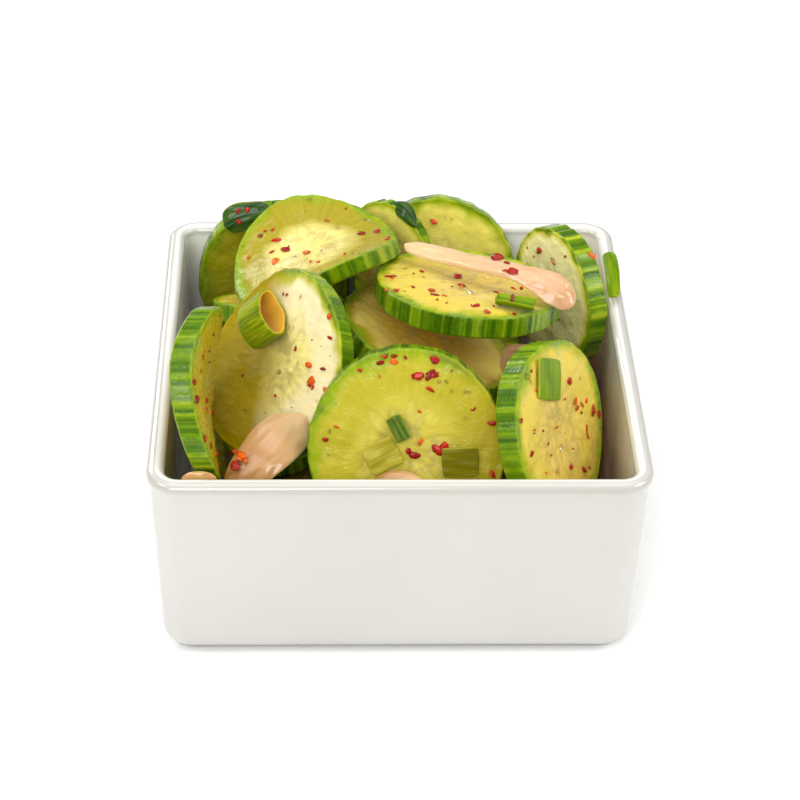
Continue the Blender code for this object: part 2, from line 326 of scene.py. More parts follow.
def bowl_profile():
    """Inset from the outer wall and height of each ring, from the underside to the floor."""
    lip = (WALL + LIP_PROUD) / 2
    lip_height = BOWL_HEIGHT - LIP_RISE
    under = np.linspace(RIM_HALF * POLE_REACH, FOOT_INSET + 1.0, 12)
    foot = np.linspace(FOOT_INSET - 1.0, BASE_EDGE, 5)
    outer = np.linspace(BASE_EDGE, lip_height - LIP_NECK, 26)[1:]
    neck = np.linspace(0, 1, 8)[1:-1]
    inner = np.linspace(lip_height - LIP_INNER, BOWL_FLOOR + INNER_EDGE, 26)
    floor_inset = np.linspace(WALL + INNER_EDGE, RIM_HALF * POLE_REACH, 16)[1:]
    return np.concatenate([
        np.stack([under, np.full_like(under, FOOT_RECESS)], axis=-1),
        [(FOOT_INSET + 0.35, FOOT_RECESS * 0.7), (FOOT_INSET, 0.25), (FOOT_INSET - 0.4, 0.0)],
        np.stack([foot, np.zeros_like(foot)], axis=-1),
        arc((BASE_EDGE, BASE_EDGE), BASE_EDGE, BASE_EDGE, -90, -180, 12)[1:],
        np.stack([np.zeros_like(outer), outer], axis=-1),
        np.stack([
            -LIP_PROUD * smooth(0, 1, neck), lip_height - LIP_NECK + neck * LIP_NECK,
        ], axis=-1),
        arc((lip - LIP_PROUD, lip_height), lip, LIP_RISE, 180, 0, 22),
        np.stack([np.full_like(inner, WALL), inner], axis=-1),
        arc((WALL + INNER_EDGE, BOWL_FLOOR + INNER_EDGE), INNER_EDGE, INNER_EDGE, 180, 270, 14)[1:],
        np.stack([floor_inset, np.full_like(floor_inset, BOWL_FLOOR)], axis=-1),
    ])


def outline(half, radius):
    """Rounded squares, one for each half width and corner radius. Each is four quarter
    circles, with the straight sides divided evenly between them."""
    sweep = np.linspace(0, np.pi / 2, CORNER_POINTS)
    rings = []
    for quarter in range(4):
        turn = quarter * np.pi / 2
        centre = (half - radius)[:, None] * math.sqrt(2)
        x = centre * math.cos(turn + np.pi / 4) + radius[:, None] * np.cos(turn + sweep)
        y = centre * math.sin(turn + np.pi / 4) + radius[:, None] * np.sin(turn + sweep)
        rings.append(np.stack([x, y], axis=-1))
    filled = []
    share = np.linspace(0, 1, SIDE_POINTS + 2)[1:-1]
    for corner, following in zip(rings, rings[1:] + rings[:1]):
        start, stop = corner[:, -1:], following[:, :1]
        filled += [corner, start + (stop - start) * share[None, :, None]]
    return np.concatenate(filled, axis=1)


# %% Bowl surface
profile = bowl_profile()
share = (profile[:, 1] - BASE_EDGE) / (BOWL_HEIGHT - BASE_EDGE)
wall_half = BASE_HALF + (RIM_HALF - LIP_PROUD - BASE_HALF) * share
wall_corner = BASE_CORNER + (RIM_CORNER - BASE_CORNER) * share
half = wall_half - profile[:, 0]
flat = outline(half, np.clip(wall_corner - profile[:, 0], LEAST_CORNER, half * 0.95))
height = np.broadcast_to(profile[:, 1][:, None], flat.shape[:2])
rings = np.concatenate([flat, height[..., None]], axis=-1)
poles = np.array([(0, 0, FOOT_RECESS), (0, 0, BOWL_FLOOR)])
inner_from = int(np.argmax(profile[:, 1]))
inside = np.repeat((np.arange(len(profile)) > inner_from).astype(float), flat.shape[1])
bowl = closed_skin("bowl_porcelain", rings, poles, {"inside": np.concatenate([[0], inside, [1]])})

# %% [markdown]
# Glazed porcelain is a warm white body under a clear glass of about IOR 1.5. What the eye
# sees is a nearly even white, and a sharp reflection that waves a little because the glaze is
# not quite flat. The inside is painted a whiter white than the outside: painted light on its
# shaded walls. Low on the inside wall, strongest on the right, a brown-yellow tint is painted
# in: a painted reflection of the slices over a light stain of dressing. A band round the lip,
# below its very top, is painted darker: painted shade of the lip's rounded sides and of the
# soft shadow under it. Object coordinates are in metres, and so are the places below.

# %% Glazed porcelain
porcelain, tree, shader = new_material("glazed porcelain")
place = add(tree, "TexCoord").outputs["Object"]
cloud = add(tree, "TexNoise", {"Vector": place, "Scale": 28.0, "Detail": 3.0})
body = add(tree, "ValToRGB", {"Fac": cloud.outputs["Fac"]}, ((0.3, "#C5C3BD"), (0.7, "#CAC8C2")))
# Painted reflection of the slices over a light stain of dressing: a brown-yellow tint low on the
# inside wall, strongest on the right.
smear_noise = add(tree, "TexNoise", {"Vector": place, "Scale": 70.0, "Detail": 4.0})
axes = add(tree, "SeparateXYZ", {"Vector": place})
depth = axes.outputs["Z"]
beside = add(tree, "MapRange", {
    "Value": axes.outputs["X"], "From Min": -0.03, "From Max": 0.03, "To Min": 0.1, "To Max": 1.0,
})
low = add(tree, "MapRange", {
    "Value": depth, "From Min": 0.045, "From Max": 0.016, "To Min": 0.0, "To Max": 1.0,
})
uneven = add(tree, "MapRange", {
    "Value": smear_noise.outputs["Fac"], "From Min": 0.35, "From Max": 0.65,
    "To Min": 0.5, "To Max": 1.0,
})
within = add(tree, "Attribute", attribute_name="inside")
wet = add(tree, "Math", {0: low.outputs[0], 1: uneven.outputs[0]}, operation="MULTIPLY")
wet = add(tree, "Math", {0: wet.outputs[0], 1: within.outputs["Fac"]}, operation="MULTIPLY")
wet = add(tree, "Math", {0: wet.outputs[0], 1: beside.outputs[0]}, operation="MULTIPLY")
# Painted light: the inside of the bowl gets a whiter body colour than the outside, to brighten its
# shaded walls.
whiter = add(tree, "Mix", {
    0: within.outputs["Fac"], MIX_A: body.outputs["Color"], MIX_B: linear("#F4F2ED"),
}, data_type="RGBA")
stained = add(tree, "Mix", {
    0: wet.outputs[0], MIX_A: whiter.outputs[MIX_RESULT], MIX_B: linear("#CC7E24"),
}, data_type="RGBA")
wave = add(tree, "TexNoise", {"Vector": place, "Scale": 45.0, "Detail": 1.0})
bump = add(tree, "Bump", {"Height": wave.outputs["Fac"], "Strength": 0.25, "Distance": 0.0003})
# Painted shade: a darker band round the lip, below its very top, for the lip's rounded sides and the
# soft shadow under it.
at_lip = add(tree, "MapRange", {"Value": depth, "From Min": 0.0464, "From Max": 0.0490})
thin = add(tree, "ValToRGB", {"Fac": at_lip.outputs[0]}, (
    (0.0, "#000000"), (1.0, "#101010"), (0.45, "#E0E0E0"), (0.8, "#D0D0D0"),
))
edged = add(tree, "Mix", {
    0: thin.outputs["Color"], MIX_A: stained.outputs[MIX_RESULT], MIX_B: linear("#B2AFA4"),
}, data_type="RGBA")
tree.links.new(edged.outputs[MIX_RESULT], shader.inputs["Base Color"])
tree.links.new(bump.outputs["Normal"], shader.inputs["Normal"])
set_sockets(shader, {
    "Roughness": 0.16, "IOR": 1.5, "Coat Weight": 0.5, "Coat Roughness": 0.05, "Coat IOR": 1.5,
})
place_piece(bowl, porcelain, "white_glaze", "bowl")

# %% [markdown]
# ## Cucumber slices
#
# A slice is a short cylinder: a face with a seedy core, a side of striped skin, and another
# face. Its surface has two parameters: the angle around, and the way from the middle of one
# face over the skin to the middle of the other. The solid of each slice says where it lies,
# how oval it is, how thick it is, and how it bends.

# %% Reading a slice from its solid
# Up and to the front, where the upper faces look.
VIEW_SIDE = np.array((0.0, -0.8, 0.6))
SECTORS = 16
RIB_ROOM = 0.99


def square_root_inverse(matrix):
    """The matrix that turns the unit circle into the ellipse p.A.p = 1."""
    values, vectors = np.linalg.eigh(matrix)
    return vectors @ np.diag(1 / np.sqrt(values)) @ vectors.T


def slice_axes(normal):
    """Right, up the slope, and out of the face, as the columns of a matrix."""
    right = np.cross((0, 0, 1), normal)
    right /= np.linalg.norm(right)
    return np.stack([right, np.cross(normal, right), normal], axis=-1)


def bend_terms(x, y):
    """The terms of a quadratic in two variables."""
    return np.stack([np.ones_like(x), x, y, x * x, x * y, y * y], axis=-1)


def read_slice(name):
    """Fits a slice to a solid. The plane is the one across the direction in which the points
    spread least, the ellipse goes through the furthest point of each of 16 sectors, and a
    quadratic is fitted to the height of the points over the plane. The thickness is twice the
    usual distance from that quadratic, between the middle and the rim."""
    mesh = frame["nodes"][name].data
    points = np.empty(len(mesh.vertices) * 3, np.float32)
    mesh.vertices.foreach_get("co", points)
    points = np.unique(np.round(points.reshape(-1, 3).astype(float) / MM, 3), axis=0)
    centre = points.mean(axis=0)
    normal = np.linalg.svd(points - centre, full_matrices=False)[2][2]
    normal = normal * np.sign(normal @ VIEW_SIDE)
    axes = slice_axes(normal)
    x, y, z = ((points - centre) @ axes).T
    reach = np.hypot(x, y)
    sector = ((np.arctan2(y, x) + np.pi) / (2 * np.pi) * SECTORS).astype(int) % SECTORS
    order = np.lexsort((reach, sector))
    rim = order[np.flatnonzero(np.diff(np.append(sector[order], SECTORS)))]
    terms = np.stack([x[rim] ** 2, 2 * x[rim] * y[rim], y[rim] ** 2], axis=-1)
    a, b, c = np.linalg.lstsq(terms, np.ones(len(rim)), rcond=None)[0]
    ellipse = square_root_inverse(np.array([[a, b], [b, c]]))
    bend = np.linalg.lstsq(bend_terms(x, y), z, rcond=None)[0]
    rest = np.abs(z - bend_terms(x, y) @ bend)
    middle = (reach < 0.75 * reach.max()) & (reach > 0.3 * reach.max())
    return {
        "centre": centre, "axes": axes, "ellipse": ellipse * RIB_ROOM, "bend": bend,
        "thickness": 2 * np.median(rest[middle]),
    }


# %% [markdown]
# The middle of a cucumber has three chambers of seeds. On a slice they show as three groups of
# pale teardrops that point outwards, each in a pocket of clear jelly. They are raised by a
# hair, and the jelly round them is sunk by about as much. The flesh dries a little under the
# dressing, so the middle is hollow and the skin stands proud as a thin lip.

# %% Relief of a face
SEED_LENGTH = 6.4
SEED_WIDTH = 2.5
SEED_RISE = 0.03
JELLY_SINK = 0.05
MIDDLE_SINK = 0.35
FLESH_SINK = 0.14
SKIN_LIP = 0.16
CHAMBER_TURNS = np.radians((-34, -13, 10, 33))


def seed_fields(x, y, radius, seed):
    """How much each point is seed, and how much it is jelly. Each seed is an ellipse that
    points away from the middle, and its pocket is about one and a half times as large."""
    pick = np.random.default_rng(seed)
    chambers = pick.uniform(0, 2 * np.pi) + np.arange(3) * 2 * np.pi / 3
    angle = (chambers[:, None] + CHAMBER_TURNS + pick.normal(0, 0.06, (3, 4))).ravel()
    reach = radius * pick.uniform(0.27, 0.43, angle.size)
    turn = angle + pick.normal(0, 0.2, angle.size)
    scale = pick.uniform(0.6, 1.15, angle.size)
    dx = x[..., None] - reach * np.cos(angle)
    dy = y[..., None] - reach * np.sin(angle)
    along = (dx * np.cos(turn) + dy * np.sin(turn)) / (SEED_LENGTH / 2 * scale)
    across = (dy * np.cos(turn) - dx * np.sin(turn)) / (SEED_WIDTH / 2 * scale)
    far = np.sqrt(along**2 + (across * (1 + 0.25 * along)) ** 2)
    kernels = smooth(1.15, 0.75, far).max(axis=-1)
    pockets = smooth(1.9, 1.1, far).max(axis=-1)
    return kernels, pockets * (1 - kernels)


def face_relief(x, y, rho, radius, seed):
    """Height of the cut face over its smooth form, with its seed and jelly fields. The lip is
    a bell curve around the rho of 0.975, over flesh that sinks from 0.8 to 0.93."""
    kernels, jelly = seed_fields(x, y, radius, seed)
    lumps = 0.10 * ripple(x, y, 7.0, seed + 1) + 0.05 * ripple(x, y, 2.6, seed + 2)
    hollow = -MIDDLE_SINK * smooth(0.72, 0.2, rho)
    lip = SKIN_LIP * np.exp(-(((rho - 0.975) / 0.016) ** 2)) - FLESH_SINK * smooth(0.8, 0.93, rho)
    calm = smooth(1.0, 0.93, rho)
    seeded = SEED_RISE * kernels - JELLY_SINK * jelly
    return (seeded + lumps) * calm + hollow + lip, kernels, jelly


# %% [markdown]
# The side profile has rounded edges half a millimetre wide, and the skin swells and ribs a
# little on its way around. Every point carries its distance from the middle (rho), how much
# it is skin, its flat place in millimetres, and a second place whose depth is squeezed. A
# pattern drawn on that one runs in streaks, from the middle out and then along the skin.

# %% Slice surface
AROUND = 208
FACE_ROWS = 44
EDGE_ROWS = 6
SIDE_ROWS = 8
EDGE = 0.5
SKIN_RIB = 0.13
RIB_SIZE = 1.7
SKIN_SWELL = 0.2
SWELL_SIZE = 9.0
RIM_PATH = 9
STREAK = 0.1


def slice_rows(radius, half_thickness):
    """(rho, height) of each ring: a face, a quarter circle, the side, and back again.
    Height is 1 on the upper face and -1 on the lower one."""
    face = 1 - (1 - np.arange(1, FACE_ROWS + 1) / FACE_ROWS) ** 1.15
    turn = np.linspace(0, np.pi / 2, EDGE_ROWS + 1)[1:]
    narrow, low = EDGE / radius, EDGE / half_thickness
    upper = np.concatenate([
        np.stack([face * (1 - narrow), np.ones(FACE_ROWS)], axis=-1),
        np.stack([1 - narrow + narrow * np.sin(turn), 1 - low * (1 - np.cos(turn))], axis=-1),
    ])
    side = np.linspace(1 - low, low - 1, SIDE_ROWS + 2)[1:-1]
    lower = upper[::-1] * (1, -1)
    return np.concatenate([upper, np.stack([np.ones(SIDE_ROWS), side], axis=-1), lower])


def build_slice(name, form, seed):
    """Builds one slice. A point is the centre, plus the ellipse times rho in the plane, plus
    the bend, half the thickness and the relief along the normal. Ribs and swellings are read
    from a random relief along a circle, so they close on themselves."""
    radius = math.sqrt(abs(np.linalg.det(form["ellipse"])))
    half_thickness = form["thickness"] / 2
    rows = slice_rows(radius, half_thickness)
    angle = np.linspace(0, 2 * np.pi, AROUND, endpoint=False) - np.pi / 2
    rho = np.repeat(rows[:, 0], AROUND)
    level = np.repeat(rows[:, 1], AROUND)
    theta = np.tile(angle, len(rows))
    path_x, path_y = np.cos(theta) * RIM_PATH, np.sin(theta) * RIM_PATH
    rib = ripple(path_x, path_y, RIB_SIZE, seed + 5, 12) * SKIN_RIB
    swell = ripple(path_x, path_y, SWELL_SIZE, seed + 6, 12) * SKIN_SWELL
    stretch = 1 + (rib * smooth(0.9, 1.0, rho) + swell - SKIN_RIB) / radius * rho
    circle = np.stack([np.cos(theta), np.sin(theta)], axis=-1) * (rho * stretch)[:, None]
    circle = np.concatenate([[[0.0, 0.0]], circle, [[0.0, 0.0]]])
    rho = np.concatenate([[0.0], rho, [0.0]])
    level = np.concatenate([[1.0], level, [-1.0]])
    theta = np.concatenate([[0.0], theta, [0.0]])
    rib = np.concatenate([[0.0], rib, [0.0]])
    x, y = (circle @ form["ellipse"]).T
    relief, kernels, jelly = face_relief(x, y, rho, radius, seed)
    on_face = smooth(0.6, 1.0, np.abs(level))
    rise = bend_terms(x, y) @ form["bend"] + half_thickness * level
    rise = rise + relief * on_face * np.sign(level)
    points = form["centre"] + np.stack([x, y, rise], axis=-1) @ form["axes"].T
    below = half_thickness * (1 - np.abs(level))
    depth = rho * radius + below
    skin = smooth(0.35, 1.15, below + 0.6 * smooth(1 - EDGE / radius, 1.0, rho))
    streak = (np.cos(theta) * radius, np.sin(theta) * radius, depth * STREAK)
    fields = {
        "rho": rho,
        "skin": skin,
        "rib": rib / SKIN_RIB,
        "kernel": kernels * on_face,
        "jelly": jelly * on_face,
        "flat_mm": np.stack([x, y, level * half_thickness], axis=-1),
        "streak_mm": np.stack(streak, axis=-1),
    }
    rings = points[1:-1].reshape(len(rows), AROUND, 3)
    return closed_skin(name, rings, points[[0, -1]], fields)


# %% [markdown]
# Cut cucumber is wet, translucent flesh: light goes a millimetre or two into it and comes back
# green-yellow. From the middle out, the eye sees a yellower core with grey-green jelly, pale
# flesh, a bright green ring under the skin, and a dark edge. The skin is dark green with
# lighter streaks along the fruit, and everything carries a film of oily dressing, which is the
# shader's coat. The IOR of the wet flesh is about 1.38 and of the oil about 1.46.

# %% Colour of a cut face
JELLY_SHARE = 0.16
KERNEL_SHARE = 0.06
# A darker side: its tone, the places in millimetres to the right where it begins and where it
# is full, and how much of the way up the face is added to the way to the right. On the curled
# slice the darker side is painted shadow. This one begins beyond every rim.
NOT_SOAKED = ("#8E7A10", 30.0, 40.0, 0.0)


def face_colour(tree, rho, flat, blotch, fibre, tones, soaked_side):
    """Three tones by rho, with a bright ring under the skin. Over them come pale fibres, the
    darker side, which is painted shadow on the curled slice, watery clouds inside the seed
    ring, jelly and kernels."""
    core, flesh, ring = tones
    side_tone, begins, full, upward = soaked_side
    shift = add(tree, "MapRange", {
        "Value": blotch.outputs["Fac"], "From Min": 0.3, "From Max": 0.7,
        "To Min": -0.07, "To Max": 0.07,
    })
    moved = add(tree, "Math", {0: rho, 1: shift.outputs[0]}, operation="ADD")
    face = add(tree, "ValToRGB", {"Fac": moved.outputs[0]}, (
        (0.0, core), (1.0, "#6A8804"), (0.4, core), (0.62, flesh), (0.84, flesh), (0.93, ring),
        (0.97, "#84A006"),
    ))
    mottled = add(tree, "MapRange", {
        "Value": fibre.outputs["Fac"], "From Min": 0.35, "From Max": 0.75,
        "To Min": 0.0, "To Max": 0.14,
    })
    tinted = add(tree, "Mix", {
        0: mottled.outputs[0], MIX_A: face.outputs["Color"], MIX_B: linear("#E2D560"),
    }, data_type="RGBA")
    ways = add(tree, "SeparateXYZ", {"Vector": flat})
    # The darker side: how far in it has come. On the curled slice it is painted shadow.
    across = add(tree, "Math", {
        0: ways.outputs["Y"], 1: upward, 2: ways.outputs["X"],
    }, operation="MULTIPLY_ADD")
    soaked = add(tree, "MapRange", {
        "Value": across.outputs[0], "From Min": begins, "From Max": full,
        "To Min": 0.0, "To Max": 0.97,
    })
    darker = add(tree, "Mix", {
        0: soaked.outputs[0], MIX_A: tinted.outputs[MIX_RESULT], MIX_B: linear(side_tone),
    }, data_type="RGBA")
    clear = add(tree, "TexNoise", {"Vector": flat, "Scale": 0.3, "Detail": 3.0, "Distortion": 1.0})
    clouded = add(tree, "MapRange", {
        "Value": clear.outputs["Fac"], "From Min": 0.48, "From Max": 0.62,
        "To Min": 0.0, "To Max": 0.5,
    })
    inner = add(tree, "MapRange", {"Value": moved.outputs[0], "From Min": 0.55, "From Max": 0.3})
    watery = add(tree, "Math", {0: clouded.outputs[0], 1: inner.outputs[0]}, operation="MULTIPLY")
    colour = add(tree, "Mix", {
        0: watery.outputs[0], MIX_A: darker.outputs[MIX_RESULT], MIX_B: linear("#A8985A"),
    }, data_type="RGBA")
    for field, most, tone in (("jelly", JELLY_SHARE, "#8E8A3C"), ("kernel", KERNEL_SHARE, "#E9E0AE")):
        amount = add(tree, "Attribute", attribute_name=field).outputs["Fac"]
        share = add(tree, "Math", {0: amount, 1: most}, operation="MULTIPLY")
        colour = add(tree, "Mix", {
            0: share.outputs[0], MIX_A: colour.outputs[MIX_RESULT], MIX_B: linear(tone),
        }, data_type="RGBA")
    return colour.outputs[MIX_RESULT]


# %% [markdown]
# One noise draws the whole skin. The place that it reads is squeezed along the fruit, so its
# blotches come out as the long streaks that a striped cucumber has.

# %% Colour of the skin
# Painted light and shade of the ribs: the skin is lighter on their crests and darker in their
# valleys, by this share of the rib's relief.
RIB_SHARE = 0.08


def peel_colour(tree, streak):
    """Dark green with lighter streaks along the fruit, with painted light on the crests of the
    ribs and painted shade in their valleys.
    """
    stripes = add(tree, "TexNoise", {
        "Vector": streak, "Scale": 0.6, "Detail": 4.0, "Roughness": 0.55, "Distortion": 0.6,
    })
    crest = add(tree, "Attribute", attribute_name="rib").outputs["Fac"]
    ribbed = add(tree, "Math", {
        0: crest, 1: RIB_SHARE, 2: stripes.outputs["Fac"],
    }, operation="MULTIPLY_ADD")
    peel = add(tree, "ValToRGB", {"Fac": ribbed.outputs[0]}, (
        (0.24, "#2E5004"), (0.82, "#B4BA2A"), (0.42, "#466C04"), (0.60, "#789608"),
    ))
    return peel.outputs["Color"]


# %% [markdown]
# How much of each point is skin mixes the two. The film of dressing over both is thick in some
# places and thin in others, and its gloss varies with the pores, because an even coat would
# look like plastic.

# %% Wet cucumber
def cucumber_material(name, core, flesh, ring, soaked_side=NOT_SOAKED):
    """Wet cut cucumber in three tones, from the middle to the skin, under a film of dressing."""
    made, tree, shader = new_material(name)
    rho = add(tree, "Attribute", attribute_name="rho").outputs["Fac"]
    skin = add(tree, "Attribute", attribute_name="skin").outputs["Fac"]
    flat = add(tree, "Attribute", attribute_name="flat_mm").outputs["Vector"]
    streak = add(tree, "Attribute", attribute_name="streak_mm").outputs["Vector"]
    blotch = add(tree, "TexNoise", {"Vector": flat, "Scale": 0.16, "Detail": 4.0})
    fibre = add(tree, "TexNoise", {"Vector": streak, "Scale": 0.8, "Detail": 4.0})
    pore = add(tree, "TexNoise", {"Vector": flat, "Scale": 1.3, "Detail": 4.0})
    face = face_colour(tree, rho, flat, blotch, fibre, (core, flesh, ring), soaked_side)
    whole = add(tree, "Mix", {
        0: skin, MIX_A: face, MIX_B: peel_colour(tree, streak),
    }, data_type="RGBA")
    gloss = add(tree, "MapRange", {
        "Value": pore.outputs["Fac"], "From Min": 0.3, "From Max": 0.7,
        "To Min": 0.12, "To Max": 0.34,
    })
    film = add(tree, "MapRange", {
        "Value": blotch.outputs["Fac"], "From Min": 0.4, "From Max": 0.65,
        "To Min": 0.05, "To Max": 0.42,
    })
    thicker = add(tree, "MapRange", {"Value": skin, "To Min": 1.0, "To Max": 1.3})
    film = add(tree, "Math", {0: film.outputs[0], 1: thicker.outputs[0]}, operation="MULTIPLY")
    thread = add(tree, "Math", {0: fibre.outputs["Fac"], 1: 0.6}, operation="MULTIPLY")
    grain = add(tree, "Math", {0: pore.outputs["Fac"], 1: thread.outputs[0]}, operation="ADD")
    bump = add(tree, "Bump", {"Height": grain.outputs[0], "Strength": 0.6, "Distance": 0.00025})
    tree.links.new(whole.outputs[MIX_RESULT], shader.inputs["Base Color"])
    tree.links.new(gloss.outputs[0], shader.inputs["Roughness"])
    tree.links.new(film.outputs[0], shader.inputs["Coat Weight"])
    tree.links.new(bump.outputs["Normal"], shader.inputs["Normal"])
    tree.links.new(bump.outputs["Normal"], shader.inputs["Coat Normal"])
    set_sockets(shader, {
        "IOR": 1.38, "Specular IOR Level": 0.15, "Subsurface Weight": 0.25,
        "Subsurface Radius": (1.0, 0.9, 0.2), "Subsurface Scale": 0.0014,
        "Coat Roughness": 0.07, "Coat IOR": 1.46,
    })
    return made


# %% [markdown]
# No two slices are alike: some are fresh and cream, some glassy, and some stained by the
# dressing all over. The front slice is darker towards its right. On the curled slice at the
# left, the pale cream of its face is painted glare, and its darker left side is the painted
# shadow of the upright slice beside it.

# %% Slices in their places
PALE = cucumber_material(
    "wet cucumber, pale", "#CCBE46", "#B4AA2A", "#93A20C", ("#A4901C", 4.0, 24.0, 0.0)
)
WARM = cucumber_material("wet cucumber, warm", "#DCBE5A", "#D8C04C", "#A8AA16")
GLASSY = cucumber_material("wet cucumber, glassy", "#E4D47C", "#9E901C", "#8A960A")
CREAM = cucumber_material("wet cucumber, cream", "#FFF6BA", "#FFF4AE", "#D2D04A")
BRIGHT = cucumber_material("wet cucumber, bright", "#E6D67A", "#DCCF5E", "#A2AE16")
# The curled slice: its pale cream core and flesh are painted glare, and its darker left and lower
# side is the painted shadow of the upright slice at the far left.
SOAKED = cucumber_material(
    "wet cucumber, painted shadow and glare", "#F6E890", "#F8EABC", "#B6B828",
    ("#A08A02", 4.0, -6.0, 0.45),
)
DEEP = cucumber_material("wet cucumber, deep", "#867C08", "#8C880C", "#6E8208")
AMBER = cucumber_material("wet cucumber, amber", "#A08A0C", "#A69208", "#86900A")
STAINED = cucumber_material("wet cucumber, stained", "#DCB038", "#DEC460", "#A09414")
SLICE_LOOKS = {
    "back_left": DEEP,
    "upper_left": GLASSY,
    "left_curled": SOAKED,
    "far_left": AMBER,
    "front": PALE,
    "front_right": WARM,
    "right_back": CREAM,
    "top": WARM,
    "back": BRIGHT,
    "back_tip": BRIGHT,
    "under_top": STAINED,
    "inner_back": WARM,
    "inner_right": WARM,
}
slices = {}
for index, (where, look) in enumerate(SLICE_LOOKS.items()):
    form = read_slice("slice_" + where)
    slices[where] = form
    piece = build_slice("cucumber_" + where, form, SEED + 20 * index)
    place_piece(piece, look, "cucumber", "slice_" + where)

# %% [markdown]
# ## Onion petals
#
# An onion petal is a curved sheet about two millimetres thick, with blunt rounded edges. It is
# a flat oval section carried along a curve through a few points. The section turns to face
# one way after another along the curve, and bows like the layer of the onion that it was.
# The points are given as shares of the box of the petal's solid.

# %% A section carried along a curve
def spline(knots, share):
    """A smooth curve through the knots (Catmull-Rom): between two knots it is the cubic whose
    slope at each is half the step between that knot's neighbours."""
    knots = np.asarray(knots, float)
    knots = knots[:, None] if knots.ndim == 1 else knots
    padded = np.concatenate([[2 * knots[0] - knots[1]], knots, [2 * knots[-1] - knots[-2]]])
    place = share * (len(knots) - 1)
    first = np.minimum(place.astype(int), len(knots) - 2)
    t = (place - first)[:, None]
    a, b, c, d = (padded[first + k] for k in range(4))
    bent = (2 * a - 5 * b + 4 * c - d) * t**2 + (3 * b - a - 3 * c + d) * t**3
    return (2 * b + (c - a) * t + bent) / 2


def unit(vectors):
    """The vectors at length one."""
    return vectors / np.linalg.norm(vectors, axis=-1, keepdims=True)


def ribbon(name, knots, facing, widths, thickness, cup=0.0, blunt=6.0, size=(90, 44), seed=0):
    """A petal or a leaf. Its points are the curve, plus the half width times cos t to the side,
    plus the half thickness times sin t, squared off a little, and the bow, cup (cos^2 t - 1/3),
    out of the face. To the ends the width shrinks as (1 - |2s - 1|^blunt)^(1/2), and the
    thickness as that to the power 0.6. Small waves are added."""
    rows, around = size
    share = (1 - np.cos(np.linspace(0, np.pi, rows + 2))) / 2
    path = spline(knots, share)
    headed = unit(np.gradient(path, axis=0))
    side = unit(np.cross(spline(facing, share), headed))
    out = np.cross(headed, side)
    end = np.sqrt(np.clip(1 - np.abs(2 * share - 1) ** blunt, 0, 1))[:, None]
    half = spline(widths, share) / 2 * end
    turn = np.linspace(0, 2 * np.pi, around, endpoint=False)[None, :]
    across = np.cos(turn)
    up = np.sign(np.sin(turn)) * np.abs(np.sin(turn)) ** 0.8 * end ** 0.6
    length = np.linalg.norm(np.diff(path, axis=0), axis=-1).sum()
    along_mm = np.broadcast_to((share * length)[:, None], (len(share), around))
    across_mm = half * across
    waves = 0.12 * ripple(along_mm * 0.35, across_mm, 2.4, seed) * end
    lift = cup * (across**2 - 1 / 3) + thickness / 2 * up + waves
    points = path[:, None] + side[:, None] * across_mm[..., None] + out[:, None] * lift[..., None]
    veins = np.stack([across_mm + up * 0.5, along_mm * STREAK, up * 0.5 + 0 * along_mm], axis=-1)
    inner = veins[1:-1].reshape(-1, 3)
    edge = np.abs(np.broadcast_to(across, (rows, around))).reshape(-1)
    fields = {
        "vein_mm": np.concatenate([veins[:1, 0], inner, veins[-1:, 0]]),
        "edge": np.concatenate([[1.0], edge, [1.0]]),
        "along": np.concatenate([[0.0], np.repeat(share[1:-1], around), [1.0]]),
    }
    return closed_skin(name, points[1:-1], path[[0, -1]], fields)


def in_box(node, shares):
    """Points in millimetres at the given shares of a solid's box."""
    low, high = (np.array(corner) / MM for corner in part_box(node))
    return low + (high - low) * np.asarray(shares, float)


def box_ribbon(node, material, slot, shares, *shape, **more):
    """A ribbon in the place of a solid, with its curve given in shares of the solid's box."""
    place_piece(ribbon(node, in_box(node, shares), *shape, **more), material, slot, node)


# %% [markdown]
# Raw pickled onion is glassy: light spreads about three millimetres through it, so it has no
# dark shadows. It is cream at one end and blushes to a pink tan at the other, with fine veins
# along it. What lies deep in the dressing is browner, and the petal in the front left corner
# is browner still: painted shade.

